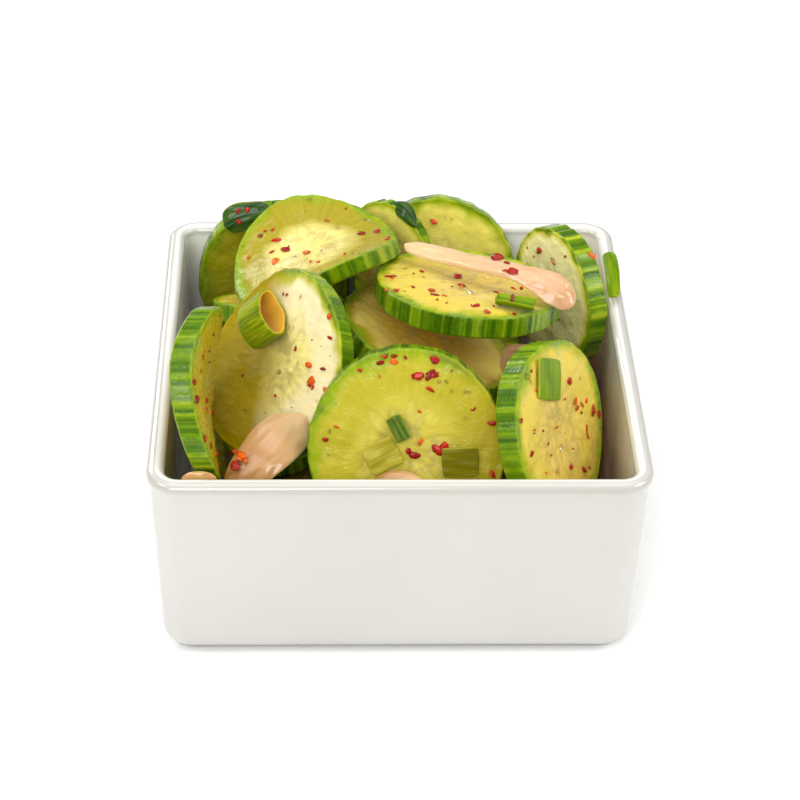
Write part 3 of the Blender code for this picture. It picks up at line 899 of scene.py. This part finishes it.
# %% Pickled onion
def onion_material(name, pale, blush, shade):
    """Translucent onion in three tones from end to end, shifted by soft clouds, with veins."""
    made, tree, shader = new_material(name)
    veins = add(tree, "Attribute", attribute_name="vein_mm").outputs["Vector"]
    along = add(tree, "Attribute", attribute_name="along").outputs["Fac"]
    cloud = add(tree, "TexNoise", {"Vector": veins, "Scale": 0.35, "Detail": 3.0})
    line = add(tree, "TexNoise", {"Vector": veins, "Scale": 1.6, "Detail": 3.0})
    moved = add(tree, "MapRange", {
        "Value": cloud.outputs["Fac"], "From Min": 0.3, "From Max": 0.7,
        "To Min": -0.08, "To Max": 0.08,
    })
    place = add(tree, "Math", {0: along, 1: moved.outputs[0]}, operation="ADD")
    body = add(tree, "ValToRGB", {"Fac": place.outputs[0]}, (
        (0.0, pale), (1.0, shade), (0.5, blush),
    ))
    lined = add(tree, "MapRange", {
        "Value": line.outputs["Fac"], "From Min": 0.45, "From Max": 0.75,
        "To Min": 0.0, "To Max": 0.12,
    })
    whole = add(tree, "Mix", {
        0: lined.outputs[0], MIX_A: body.outputs["Color"], MIX_B: linear("#F6DDB0"),
    }, data_type="RGBA")
    bump = add(tree, "Bump", {"Height": line.outputs["Fac"], "Strength": 0.4, "Distance": 0.00015})
    tree.links.new(whole.outputs[MIX_RESULT], shader.inputs["Base Color"])
    tree.links.new(bump.outputs["Normal"], shader.inputs["Normal"])
    set_sockets(shader, {
        "Roughness": 0.3, "IOR": 1.37, "Subsurface Weight": 0.7,
        "Subsurface Radius": (1.0, 0.6, 0.35), "Subsurface Scale": 0.003,
        "Coat Weight": 0.9, "Coat Roughness": 0.08, "Coat IOR": 1.46,
    })
    return made


ONION = onion_material("pickled onion", "#DCBC8E", "#D8AE86", "#C4966A")
ONION_DEEP = onion_material("pickled onion, steeped", "#885618", "#BC8E5A", "#DABA8A")
# Painted shade: the petal in the front left corner is given this browner copy of the onion.
ONION_SHADED = onion_material("pickled onion, painted shade", "#B88A3E", "#C4985A", "#A87424")

# %% Onion petals in their places
box_ribbon(
    "onion_over_top", ONION, "onion",
    ((0.02, 0.92, 0.5), (0.33, 0.68, 0.58), (0.66, 0.37, 0.84), (0.86, 0.2, 0.68), (0.97, 0.1, 0.22)),
    ((0.0, -0.35, 1.0), (0.0, -0.4, 1.0), (0.1, -0.4, 1.0), (0.2, -0.6, 0.8), (0.4, -0.8, 0.5)),
    (5.4, 4.6, 5.2, 8.0, 5.6), 1.2, -0.5, 9.0, seed=SEED + 1,
)
box_ribbon(
    "onion_front_left", ONION_DEEP, "onion",
    ((0.06, 0.04, 0.1), (0.33, 0.25, 0.52), (0.6, 0.58, 0.66), (0.92, 0.9, 0.74)),
    ((-0.2, -0.72, 0.66), (-0.2, -0.72, 0.66), (-0.1, -0.7, 0.7)),
    (6.4, 9.8, 11.8, 10.6), 1.6, -1.2, 5.0, seed=SEED + 2,
)
box_ribbon(
    "onion_corner", ONION_SHADED, "onion",
    ((0.05, 0.4, 0.3), (0.35, 0.5, 0.5), (0.65, 0.5, 0.5), (0.95, 0.5, 0.3)),
    ((0.0, -1.0, 0.1), (0.0, -1.0, 0.1)),
    (4.0, 5.0, 5.0, 3.4), 1.6, seed=SEED + 3, size=(50, 30),
)
box_ribbon(
    "onion_gap", ONION, "onion",
    ((0.5, 0.7, 0.04), (0.5, 0.6, 0.35), (0.5, 0.45, 0.68), (0.5, 0.3, 0.96)),
    ((0.0, -0.8, 0.6), (0.0, -0.8, 0.6)),
    (8.0, 8.4, 8.0, 6.0), 1.6, -0.8, seed=SEED + 4,
)
box_ribbon(
    "onion_front", ONION_DEEP, "onion",
    ((0.05, 0.5, 0.35), (0.35, 0.5, 0.6), (0.65, 0.5, 0.6), (0.95, 0.5, 0.4)),
    ((0.0, -0.5, 0.85), (0.0, -0.5, 0.85)),
    (4.0, 5.4, 5.4, 3.6), 1.6, -0.5, seed=SEED + 5, size=(60, 34),
)

# %% [markdown]
# ## Scallion
#
# The flat pieces are lengths of a split leaf lying on a slice. Each is a short ribbon whose
# curve runs over the face of the slice that it lies on, a little above it. Two more, at the
# back, are ribbons in their own boxes. The curled one is still a tube: its wall section is
# carried around an oval.

# %% Places on a slice
def to_face(form, point):
    """Right and up, in millimetres, of a point over a slice's middle."""
    return ((np.asarray(point) - form["centre"]) @ form["axes"])[:2]


def on_face(form, flat, lift=0.0):
    """Points on the upper face of a slice, at places (right, up) and lifted off it."""
    flat = np.atleast_2d(flat)
    rise = bend_terms(flat[:, 0], flat[:, 1]) @ form["bend"] + form["thickness"] / 2 + lift
    return form["centre"] + np.concatenate([flat, rise[:, None]], axis=1) @ form["axes"].T


def node_middle(node):
    """The middle of a solid's box, in millimetres."""
    low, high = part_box(node)
    return np.array((low + high) / 2) / MM


def leaf_on(node, host, turn, length, width, material, thickness=0.7, lift=0.35, cup=0.12):
    """A flat length of leaf at the place of its solid, on the slice host. Its curve is turned
    from the slice's right by an angle in degrees."""
    form = slices[host]
    middle = to_face(form, node_middle(node))
    step = np.array((math.cos(math.radians(turn)), math.sin(math.radians(turn)))) * length
    flat = middle + np.linspace(-0.5, 0.5, 5)[:, None] * step
    knots = on_face(form, flat, lift + thickness / 2)
    facing = np.stack([form["axes"][:, 2]] * 2)
    widths = (width, width)
    piece = ribbon(node, knots, facing, widths, thickness, cup, 30.0, (70, 40), SEED + len(node))
    place_piece(piece, material, "scallion", node)


def tube_length(name, centre, axis, side, radii, length, wall, seed):
    """A short open tube: a rectangle with round corners, wall by length, carried around an
    oval. The section's two halves are cos t and sin t, both to the power 0.4."""
    around, section = 72, 40
    axis = unit(np.asarray(axis, float))
    side = unit(np.asarray(side, float) - axis * (np.asarray(side) @ axis))
    other = np.cross(axis, side)
    turn = np.linspace(0, 2 * np.pi, around, endpoint=False)[:, None]
    loop = np.linspace(0, 2 * np.pi, section, endpoint=False)[None, :]
    out = np.sign(np.cos(loop)) * np.abs(np.cos(loop)) ** 0.4 * wall / 2
    up = np.sign(np.sin(loop)) * np.abs(np.sin(loop)) ** 0.4 * length / 2
    wobble = 1 + 0.05 * ripple(np.cos(turn) * 5, np.sin(turn) * 5, 6.0, seed)
    x = (radii[0] * wobble + out) * np.cos(turn)
    y = (radii[1] * wobble + out) * np.sin(turn)
    points = np.asarray(centre) + x[..., None] * side + y[..., None] * other
    points = points + np.broadcast_to(up, x.shape)[..., None] * axis
    here = np.arange(around * section).reshape(around, section)
    next_turn = np.roll(here, -1, axis=0)
    quads = np.stack([here, np.roll(here, -1, 1), np.roll(next_turn, -1, 1), next_turn], axis=-1)
    veins = np.stack([turn * radii[0] + 0 * up, 0 * turn + up * STREAK, 0 * turn + out], axis=-1)
    fields = {
        "vein_mm": veins.reshape(-1, 3),
        "edge": np.broadcast_to(out / wall, x.shape).reshape(-1) + 0.5,
        "along": np.broadcast_to(up / length, x.shape).reshape(-1) + 0.5,
    }
    no_triangles = np.empty((0, 3), int)
    return mesh_object(name, points.reshape(-1, 3), quads.reshape(-1, 4), no_triangles, fields)


# %% [markdown]
# A scallion leaf is thin, waxy and fibrous. Fine parallel veins run along it, and light passes
# through it. Its outside is a full green, its cut edges are pale, and the inside of the rolled
# one is stained yellow by the dressing.

# %% Scallion leaf
def scallion_material(name, dark, light, inner=None, coat=0.08):
    """Waxy leaf in two greens, with veins about half a millimetre apart. A flat piece has
    pale cut edges. On a tube, inner is the tone of the inside."""
    made, tree, shader = new_material(name)
    veins = add(tree, "Attribute", attribute_name="vein_mm").outputs["Vector"]
    edge = add(tree, "Attribute", attribute_name="edge").outputs["Fac"]
    line = add(tree, "TexNoise", {"Vector": veins, "Scale": 1.8, "Detail": 2.0})
    cloud = add(tree, "TexNoise", {"Vector": veins, "Scale": 0.3, "Detail": 2.0})
    both = add(tree, "Math", {0: line.outputs["Fac"], 1: cloud.outputs["Fac"]}, operation="ADD")
    share = add(tree, "MapRange", {
        "Value": both.outputs[0], "From Min": 0.75, "From Max": 1.25, "To Min": 0.0, "To Max": 1.0,
    })
    body = add(tree, "Mix", {
        0: share.outputs[0], MIX_A: linear(dark), MIX_B: linear(light),
    }, data_type="RGBA")
    begins, full, most = (0.88, 1.0, 0.6) if inner is None else (0.6, 0.3, 1.0)
    rim = add(tree, "MapRange", {
        "Value": edge, "From Min": begins, "From Max": full, "To Min": 0.0, "To Max": most,
    })
    whole = add(tree, "Mix", {
        0: rim.outputs[0], MIX_A: body.outputs[MIX_RESULT], MIX_B: linear(inner or "#B4AE2A"),
    }, data_type="RGBA")
    bump = add(tree, "Bump", {"Height": line.outputs["Fac"], "Strength": 0.5, "Distance": 0.00015})
    tree.links.new(whole.outputs[MIX_RESULT], shader.inputs["Base Color"])
    tree.links.new(bump.outputs["Normal"], shader.inputs["Normal"])
    set_sockets(shader, {
        "Roughness": 0.35, "IOR": 1.42, "Specular IOR Level": 0.1, "Subsurface Weight": 0.2,
        "Subsurface Radius": (0.6, 1.0, 0.2), "Subsurface Scale": 0.001,
        "Coat Weight": coat, "Coat Roughness": 0.1, "Coat IOR": 1.46,
    })
    return made


LEAF = scallion_material("scallion leaf", "#567C01", "#849C04")
LEAF_DARK = scallion_material("scallion leaf, dark", "#1C3A10", "#466A1C", coat=0.5)
LEAF_MUTED = scallion_material("scallion leaf, muted", "#3E5810", "#7A8C30")
LEAF_PALE = scallion_material("scallion leaf, soaked", "#9C9226", "#B8AC3E")
LEAF_OLIVE = scallion_material("scallion leaf, under dressing", "#666204", "#787206")
CURL = scallion_material("scallion leaf, rolled", "#566A02", "#9CA816", "#D8A838")

# %% Scallion in its places
leaf_on("scallion_front_right", "front_right", 57, 9.2, 10.4, LEAF, 0.5, 0.1)
leaf_on("scallion_pale", "front", 28, 7.6, 6.6, LEAF_PALE)
leaf_on("scallion_oval", "front", 118, 5.8, 3.6, LEAF_MUTED, 1.4)
leaf_on("scallion_olive", "front", 4, 8.0, 6.4, LEAF_OLIVE)
leaf_on("scallion_top", "top", 8, 9.0, 5.4, LEAF, 0.7, 0.9, 1.6)
curl = slices["left_curled"]
curl_axis = unit(np.array((0.62, -0.3, 0.72)))
place_piece(tube_length(
    "scallion_left", node_middle("scallion_left") + curl["axes"] @ (2.4, 1.2, 2.0), curl_axis,
    np.cross(curl["axes"][:, 2], curl_axis), (5.2, 3.5), 7.8, 0.9, SEED + 9,
), CURL, "scallion", "scallion_left")
box_ribbon(
    "scallion_right_back", LEAF, "scallion",
    ((0.6, 0.98, 0.4), (0.6, 0.68, 0.75), (0.55, 0.35, 0.75), (0.45, 0.03, 0.4)),
    ((-0.1, -0.2, 1.0), (-0.1, -0.2, 1.0)),
    (3.4, 3.6, 3.4, 3.0), 0.7, -0.3, 14.0, seed=SEED + 8,
)
box_ribbon(
    "scallion_back_left", LEAF_DARK, "scallion",
    ((0.03, 0.4, 0.25), (0.3, 0.45, 0.5), (0.66, 0.5, 0.65), (0.97, 0.5, 0.82)),
    ((-0.1, -0.9, 0.45), (0.1, -0.85, 0.5), (-0.2, -0.9, 0.4)),
    (5.4, 7.4, 6.4, 4.4), 0.7, -1.0, 10.0, seed=SEED + 12,
)

# %% [markdown]
# ## The bed
#
# Under the top layer the bowl is full of more slices in brown-green dressing. A sunken copy
# of the bed's solid, merged and smoothed, is the dark mass between them, and a dozen slices
# are buried in it, up to the undersides of the pieces on top.

# %% Bed core
CORE_SINK = 3.2
CORE_SQUEEZE = 0.97
CORE_LIFT = 0.3
CORE_LUMPS = 0.35

source = frame["nodes"]["salad_bed"].data
loose = np.empty(len(source.vertices) * 3, np.float32)
source.vertices.foreach_get("co", loose)
corners = np.empty(len(source.loops), np.int32)
source.loops.foreach_get("vertex_index", corners)
points, index = np.unique(np.round(loose.reshape(-1, 3) / MM, 3), axis=0, return_inverse=True)
points[:, :2] *= CORE_SQUEEZE
low = points[:, 2].min()
lumps = CORE_LUMPS * ripple(points[:, 0], points[:, 1], 6.0, SEED) * smooth(8.0, 14.0, points[:, 2])
points[:, 2] = low + CORE_LIFT + np.maximum(points[:, 2] - low - CORE_SINK, 0.0) + lumps
triangles = index.reshape(-1)[corners].reshape(-1, 3)
core = mesh_object("bed_core", points, np.empty((0, 4), int), triangles, {})
swell = core.modifiers.new("Soft lumps", "SUBSURF")
swell.levels = 1
swell.render_levels = 1

# %% [markdown]
# The mass itself is a mash of shreds in dressing, olive to brown-yellow, and wet. Its
# nearly black low end is painted shade of the deep gaps between the slices.

# %% Soaked salad
soaked, tree, shader = new_material("soaked salad")
place = add(tree, "TexCoord").outputs["Object"]
shred = add(tree, "TexNoise", {"Vector": place, "Scale": 260.0, "Detail": 5.0, "Distortion": 1.2})
# Painted shade: the nearly black low end of this ramp darkens the gaps between the slices.
mash = add(tree, "ValToRGB", {"Fac": shred.outputs["Fac"]}, (
    (0.3, "#2A2506"), (0.72, "#9A8A30"), (0.48, "#4E4A10"), (0.6, "#6E5A16"),
))
bump = add(tree, "Bump", {"Height": shred.outputs["Fac"], "Strength": 0.8, "Distance": 0.0012})
tree.links.new(mash.outputs["Color"], shader.inputs["Base Color"])
tree.links.new(bump.outputs["Normal"], shader.inputs["Normal"])
set_sockets(shader, {"Roughness": 0.4, "IOR": 1.38, "Coat Weight": 0.4, "Coat Roughness": 0.12})
place_piece(core, soaked, "salad_bed", "salad_bed")

# %% [markdown]
# The buried slices are thrown in at random, from high to low. Each throw is tested as a slab
# that hangs from the slice's middle plane, and it stays if the slab clears the walls, the
# pieces above and the slabs thrown before. The slice itself lies half a thickness higher, so
# three of them press into the piece above: one by 0.3 millimetres, where it looks like a
# touch, and two by up to 2.3 millimetres, down where the heap hides it. A search tree of all
# the pieces tells how far the nearest one is, and on which side of its skin a point lies.

# %% Room for a slice
BURIED_COUNT = 12
BURIED_TRIES = 9000
BURIED_ACROSS = (-36, 36)
BURIED_ALONG = (-38, 34)
BURIED_TOP = 41.0
BURIED_LOWEST = 14.0
BURIED_TILT = (2, 26)
BURIED_RADIUS = (13.5, 16.5)
BURIED_THICKNESS = 4.4
BURIED_REACH = 47.5
BURIED_FLOOR = 7.0
BURIED_CLEAR = 0.5
BURIED_TRIM = 0.98


def piece_tree():
    """A search tree of everything that can cover a face, in millimetres."""
    graph = bpy.context.evaluated_depsgraph_get()
    corners, faces = [], []
    for obj in bpy.data.objects:
        if obj.type == "MESH" and obj.name.startswith(("cucumber", "onion", "scallion")):
            mesh = obj.evaluated_get(graph).data
            first = len(corners)
            flat = np.empty(len(mesh.vertices) * 3, np.float32)
            mesh.vertices.foreach_get("co", flat)
            corners.extend((flat.reshape(-1, 3) / MM).tolist())
            faces.extend([first + v for v in face.vertices] for face in mesh.polygons)
    return BVHTree.FromPolygons(corners, faces)


def flat_form(centre, tilt, compass, radius):
    """The form of a round, unbent slice, tilted towards a compass angle."""
    tilt, compass = math.radians(tilt), math.radians(compass)
    normal = np.array((
        math.sin(tilt) * math.cos(compass), math.sin(tilt) * math.sin(compass), math.cos(tilt),
    ))
    return {
        "centre": np.array(centre), "axes": slice_axes(normal),
        "ellipse": np.eye(2) * radius * BURIED_TRIM, "bend": np.zeros(6),
        "thickness": BURIED_THICKNESS,
    }


def slab_points(form, rings=(1.0, 0.55), around=28):
    """Points on both faces of the slab that hangs from a slice's middle plane."""
    radius = form["ellipse"][0, 0]
    turn = np.linspace(0, 2 * np.pi, around, endpoint=False)
    flat = np.concatenate([
        np.stack([np.cos(turn), np.sin(turn)], axis=-1) * radius * ring for ring in rings
    ])
    sides = [np.full((len(flat), 1), side) for side in (0.0, -form["thickness"])]
    return np.concatenate([
        form["centre"] + np.concatenate([flat, side], axis=-1) @ form["axes"].T for side in sides
    ])


def in_slab(points, form, clear):
    """Whether any point lies in the slab of a flat slice, or within the clearance of it."""
    local = (points - form["centre"]) @ form["axes"]
    near = np.hypot(local[:, 0], local[:, 1]) < form["ellipse"][0, 0] + clear
    return bool(np.any(near & (local[:, 2] < clear) & (local[:, 2] > -form["thickness"] - clear)))


def has_room(points, tree, clear):
    """Whether points are inside the bowl and clear of all the pieces in the tree."""
    if np.abs(points[:, :2]).max() > BURIED_REACH or points[:, 2].min() < BURIED_FLOOR:
        return False
    for point in points.tolist():
        nearest, normal, _, far = tree.find_nearest(point)
        if far < clear or (Vector(point) - nearest).dot(normal) < 0:
            return False
    return True


# %% Buried slices
above = piece_tree()
pick = np.random.default_rng(SEED + 400)
buried = []
for height in np.linspace(BURIED_TOP, BURIED_LOWEST, BURIED_TRIES):
    where = (pick.uniform(*BURIED_ACROSS), pick.uniform(*BURIED_ALONG), height)
    tilt, compass = pick.uniform(*BURIED_TILT), pick.uniform(-180, 180)
    form = flat_form(where, tilt, compass, pick.uniform(*BURIED_RADIUS))
    points = slab_points(form)
    if any(in_slab(points, other, BURIED_CLEAR) for other in buried):
        continue
    if has_room(points, above, BURIED_CLEAR):
        buried.append(form)
        if len(buried) == BURIED_COUNT:
            break
print("buried slices at", [np.round(form["centre"], 0).tolist() for form in buried])

for index, form in enumerate(buried):
    piece = build_slice(f"cucumber_buried_{index + 1:02d}", form, SEED + 400 + 10 * index)
    place_piece(piece, (WARM, DEEP)[index % 2], "cucumber")

# %% [markdown]
# ## Toppings
#
# Chilli flakes, pepper specks and drops of dressing lie on everything. All flakes are one
# mesh: one small template of a few dozen faces is stretched, turned and jittered by arrays
# for each of them. The specks and the drops are made in the same way.

# %% Template and copies
def blob_template(rings, around):
    """Points of a unit ball, pole first and pole last, and its triangles."""
    up = np.linspace(0, np.pi, rings + 2)[1:-1]
    turn = np.linspace(0, 2 * np.pi, around, endpoint=False)
    ball = np.stack([
        np.sin(up)[:, None] * np.cos(turn), np.sin(up)[:, None] * np.sin(turn),
        np.cos(up)[:, None] + 0 * turn,
    ], axis=-1).reshape(-1, 3)
    here = 1 + np.arange(rings * around).reshape(rings, around)
    beside = np.roll(here, -1, axis=1)
    strips = [
        np.stack([here[:-1], here[1:], beside[1:]], axis=-1).reshape(-1, 3),
        np.stack([here[:-1], beside[1:], beside[:-1]], axis=-1).reshape(-1, 3),
        np.stack([0 * here[0], here[0], beside[0]], axis=-1),
        np.stack([0 * here[0] + rings * around + 1, beside[-1], here[-1]], axis=-1),
    ]
    ball = np.concatenate([[(0.0, 0.0, 1.0)], ball, [(0.0, 0.0, -1.0)]])
    return ball, np.concatenate(strips)


def scatter(name, spots, normals, sizes, template, jitter, seed, tip=20.0):
    """One mesh with a copy of the template at each spot. A copy is scaled by its own length,
    width and height, jittered, tipped by a random angle, turned at random, and laid with its
    up direction along the normal."""
    pick = np.random.default_rng(seed)
    ball, triangles = template
    count = len(spots)
    shapes = ball[None] * sizes[:, None, :] / 2
    shapes = shapes * (1 + jitter * pick.uniform(-1, 1, (count, len(ball), 1)))
    turn = pick.uniform(0, 2 * np.pi, count)
    lean = np.radians(pick.normal(0, tip, count))
    helper = np.where(np.abs(normals[:, 2:]) > 0.9, (1.0, 0.0, 0.0), (0.0, 0.0, 1.0))
    east = unit(np.cross(helper, normals))
    north = np.cross(normals, east)
    first = east * np.cos(turn)[:, None] + north * np.sin(turn)[:, None]
    second = np.cross(normals, first)
    up = normals * np.cos(lean)[:, None] + second * np.sin(lean)[:, None]
    second = np.cross(up, first)
    frames = np.stack([first, second, up], axis=1)
    points = np.einsum("nki,nij->nkj", shapes, frames) + spots[:, None]
    faces = (triangles[None] + np.arange(count)[:, None, None] * len(ball)).reshape(-1, 3)
    shade = np.repeat(pick.uniform(0, 1, count), len(ball))
    return mesh_object(name, points.reshape(-1, 3), np.empty((0, 4), int), faces, {"shade": shade})


# %% [markdown]
# A topping has to lie on something. A ray through the search tree of all the pieces finds the
# skin under it, and another tells whether the place is bare.

# %% Where a topping lands
cover = piece_tree()
# Right angles to VIEW_SIDE: up, for an eye that looks along it.
VIEW_UP = np.array((0.0, 0.6, 0.8))


def dropped(right, up):
    """The point and the normal of the first piece met on the way against VIEW_SIDE, from a
    place right and up in millimetres."""
    start = Vector((right, 0, 0)) + Vector(VIEW_UP * up + VIEW_SIDE * 200)
    hit, normal = cover.ray_cast(start, Vector(-VIEW_SIDE))[:2]
    return (None, None) if hit is None else (np.array(hit), np.array(normal))


def random_spots(count, seed, reach=0.93):
    """Random bare places on the slices: their points and normals. A place is bare if a ray
    straight out of it meets nothing for 8 millimetres, and one straight up nothing for 30."""
    pick = np.random.default_rng(seed)
    names = list(slices)
    spots, normals = [], []
    while len(spots) < count:
        form = slices[names[pick.integers(len(names))]]
        angle, far = pick.uniform(0, 2 * np.pi), math.sqrt(pick.uniform(0, 1)) * reach
        flat = form["ellipse"] @ np.array((math.cos(angle), math.sin(angle))) * far
        side = 1 if pick.uniform() < 0.8 else -1
        point = on_face(form, flat, 0.0 if side > 0 else -form["thickness"])[0]
        normal = form["axes"][:, 2] * side
        start = Vector(point + normal * 0.6)
        bare = cover.ray_cast(start, Vector(normal), 8.0)[0] is None
        if bare and cover.ray_cast(start, Vector((0, 0, 1)), 30.0)[0] is None:
            spots.append(point)
            normals.append(normal)
    return np.array(spots), np.array(normals)


# %% [markdown]
# One dark bit of leaf lies loose across the two slices at the back. Its curve is dropped
# from the front like the flakes below, and then lifted off them. Part of it still dips by up
# to 0.8 millimetres into the smaller one, as if tucked in.

# %% A loose bit of leaf
LEAF_BIT = ((-1.8, 75.4), (0.4, 74.0), (3.0, 71.4), (5.2, 67.8))
LEAF_BIT_LIFT = 1.2

under = [dropped(right, up) for right, up in LEAF_BIT]
print("leaf bit rests at", [None if hit is None else np.round(hit, 1).tolist() for hit, _ in under])
knots = [hit + VIEW_SIDE * LEAF_BIT_LIFT for hit, _ in under if hit is not None]
place_piece(ribbon(
    "scallion_bit_back", knots, [VIEW_SIDE, VIEW_SIDE], (2.8, 4.4, 3.6, 2.0), 0.5, -0.8, 4.0,
    seed=SEED + 30,
), LEAF_DARK, "scallion")

# %% [markdown]
# Chilli flakes are torn bits of dried skin: thin, angular, deep red where two layers overlap
# and orange where light passes through one. They stick together where the dressing ran, so
# some lie in clusters, and the rest fall at random on the faces. A cluster is given by its
# piece, by shares of the piece's box, across and up, and by its number of flakes. They are
# dropped from the front and above: a ray finds the piece under each, and the flake rests on it.

# %% Chilli flakes
CLUSTERS = (
    ("onion_front_left", 0.2, 0.2, 7), ("slice_left_curled", 0.75, 0.3, 4),
    ("slice_upper_left", 0.9, 0.15, 5), ("slice_upper_left", 0.3, 0.6, 4),
    ("onion_over_top", 0.6, 0.7, 5), ("onion_over_top", 0.35, 0.3, 3),
    ("slice_right_back", 0.85, 0.8, 5), ("slice_front", 0.6, 0.95, 4),
    ("slice_front", 0.6, 0.5, 4), ("slice_top", 0.3, 0.5, 4), ("slice_top", 0.7, 0.6, 4),
    ("slice_back_left", 0.3, 0.9, 4), ("slice_far_left", 0.5, 0.5, 3),
    ("slice_front_right", 0.9, 0.7, 3), ("slice_under_top", 0.3, 0.3, 4),
)
CLUSTER_SPREAD = 1.5
CLUSTER_LENGTHS = (1.3, 3.0)
LOOSE_FLAKES = 190
FLAKE_LIFT = 0.15

pick = np.random.default_rng(SEED + 32)
spots, normals = [], []
for node, across, rise, count in CLUSTERS:
    middle = in_box(node, (across, 0.5, rise))
    for step in pick.normal(0, CLUSTER_SPREAD, (count, 2)):
        hit, normal = dropped(middle[0] + step[0], middle @ VIEW_UP + step[1])
        if hit is not None:
            spots.append(hit)
            normals.append(normal)
print(len(spots), "flakes lie in clusters")
more_spots, more_normals = random_spots(LOOSE_FLAKES, SEED + 31)
lengths = np.concatenate([
    pick.uniform(*CLUSTER_LENGTHS, len(spots)), 0.6 + 2.0 * pick.uniform(0, 1, LOOSE_FLAKES) ** 2,
])
spots = np.array(spots + list(more_spots))
normals = np.array(normals + list(more_normals))
widths = lengths * pick.uniform(0.45, 0.85, len(lengths))
flake_sizes = np.stack([lengths, widths, pick.uniform(0.25, 0.5, len(lengths))], axis=-1)
resting = spots + normals * FLAKE_LIFT
flakes = scatter(
    "chilli_flakes", resting, normals, flake_sizes, blob_template(3, 7), 0.35, SEED + 33
)

# %% Dried chilli skin
chilli, tree, shader = new_material("dried chilli skin")
shade = add(tree, "Attribute", attribute_name="shade")
tone = add(tree, "ValToRGB", {"Fac": shade.outputs["Fac"]}, (
    (0.0, "#740802"), (1.0, "#E06410"), (0.45, "#A61002"), (0.8, "#C42604"),
))
place = add(tree, "TexCoord").outputs["Object"]
wrinkle = add(tree, "TexNoise", {"Vector": place, "Scale": 2500.0, "Detail": 2.0})
bump = add(tree, "Bump", {"Height": wrinkle.outputs["Fac"], "Strength": 0.5, "Distance": 0.0001})
tree.links.new(tone.outputs["Color"], shader.inputs["Base Color"])
tree.links.new(bump.outputs["Normal"], shader.inputs["Normal"])
set_sockets(shader, {
    "Roughness": 0.3, "IOR": 1.45, "Specular IOR Level": 0.3,
    "Coat Weight": 0.25, "Coat Roughness": 0.1,
})
place_piece(flakes, chilli, "salad_bed")

# %% [markdown]
# The specks are coarse black pepper, matt and nearly black.

# %% Pepper specks
PEPPER_SPECKS = 30
SPECK_LIFT = 0.08

spots, normals = random_spots(PEPPER_SPECKS, SEED + 41, 0.97)
pick = np.random.default_rng(SEED + 42)
grain_sizes = pick.uniform(0.25, 0.5, (len(spots), 1)) * pick.uniform(0.6, 1.0, (len(spots), 3))
resting = spots + normals * SPECK_LIFT
specks = scatter(
    "pepper_specks", resting, normals, grain_sizes, blob_template(3, 6), 0.2, SEED + 43
)
pepper, tree, shader = new_material("cracked pepper")
shade = add(tree, "Attribute", attribute_name="shade")
tone = add(tree, "ValToRGB", {"Fac": shade.outputs["Fac"]}, ((0.0, "#1C130A"), (1.0, "#4A3518")))
tree.links.new(tone.outputs["Color"], shader.inputs["Base Color"])
set_sockets(shader, {"Roughness": 0.6})
place_piece(specks, pepper, "salad_bed")

# %% [markdown]
# Drops of oil and vinegar bead on the cut faces. They are low domes of clear, faintly yellow
# liquid of IOR 1.45, so each one shows a spark of light and a bright far edge.

# %% Drops of dressing
DRESSING_DROPS = 160

spots, normals = random_spots(DRESSING_DROPS, SEED + 51, 0.98)
pick = np.random.default_rng(SEED + 52)
drop_width = 0.5 + 1.3 * pick.uniform(0, 1, (len(spots), 1)) ** 3
drop_sizes = drop_width * np.array((1.0, 0.85, 0.5)) * pick.uniform(0.8, 1.15, (len(spots), 3))
drops = scatter(
    "dressing_drops", spots, normals, drop_sizes, blob_template(6, 12), 0.0, SEED + 53, 0.0
)
dressing, tree, shader = new_material("oil and vinegar dressing")
place = add(tree, "TexCoord").outputs["Object"]
haze = add(tree, "TexNoise", {"Vector": place, "Scale": 400.0})
clear = add(tree, "ValToRGB", {"Fac": haze.outputs["Fac"]}, ((0.3, "#F6EBC0"), (0.7, "#FBF4D8")))
tree.links.new(clear.outputs["Color"], shader.inputs["Base Color"])
set_sockets(shader, {"Roughness": 0.03, "IOR": 1.45, "Transmission Weight": 1.0})
place_piece(drops, dressing, "salad_bed")
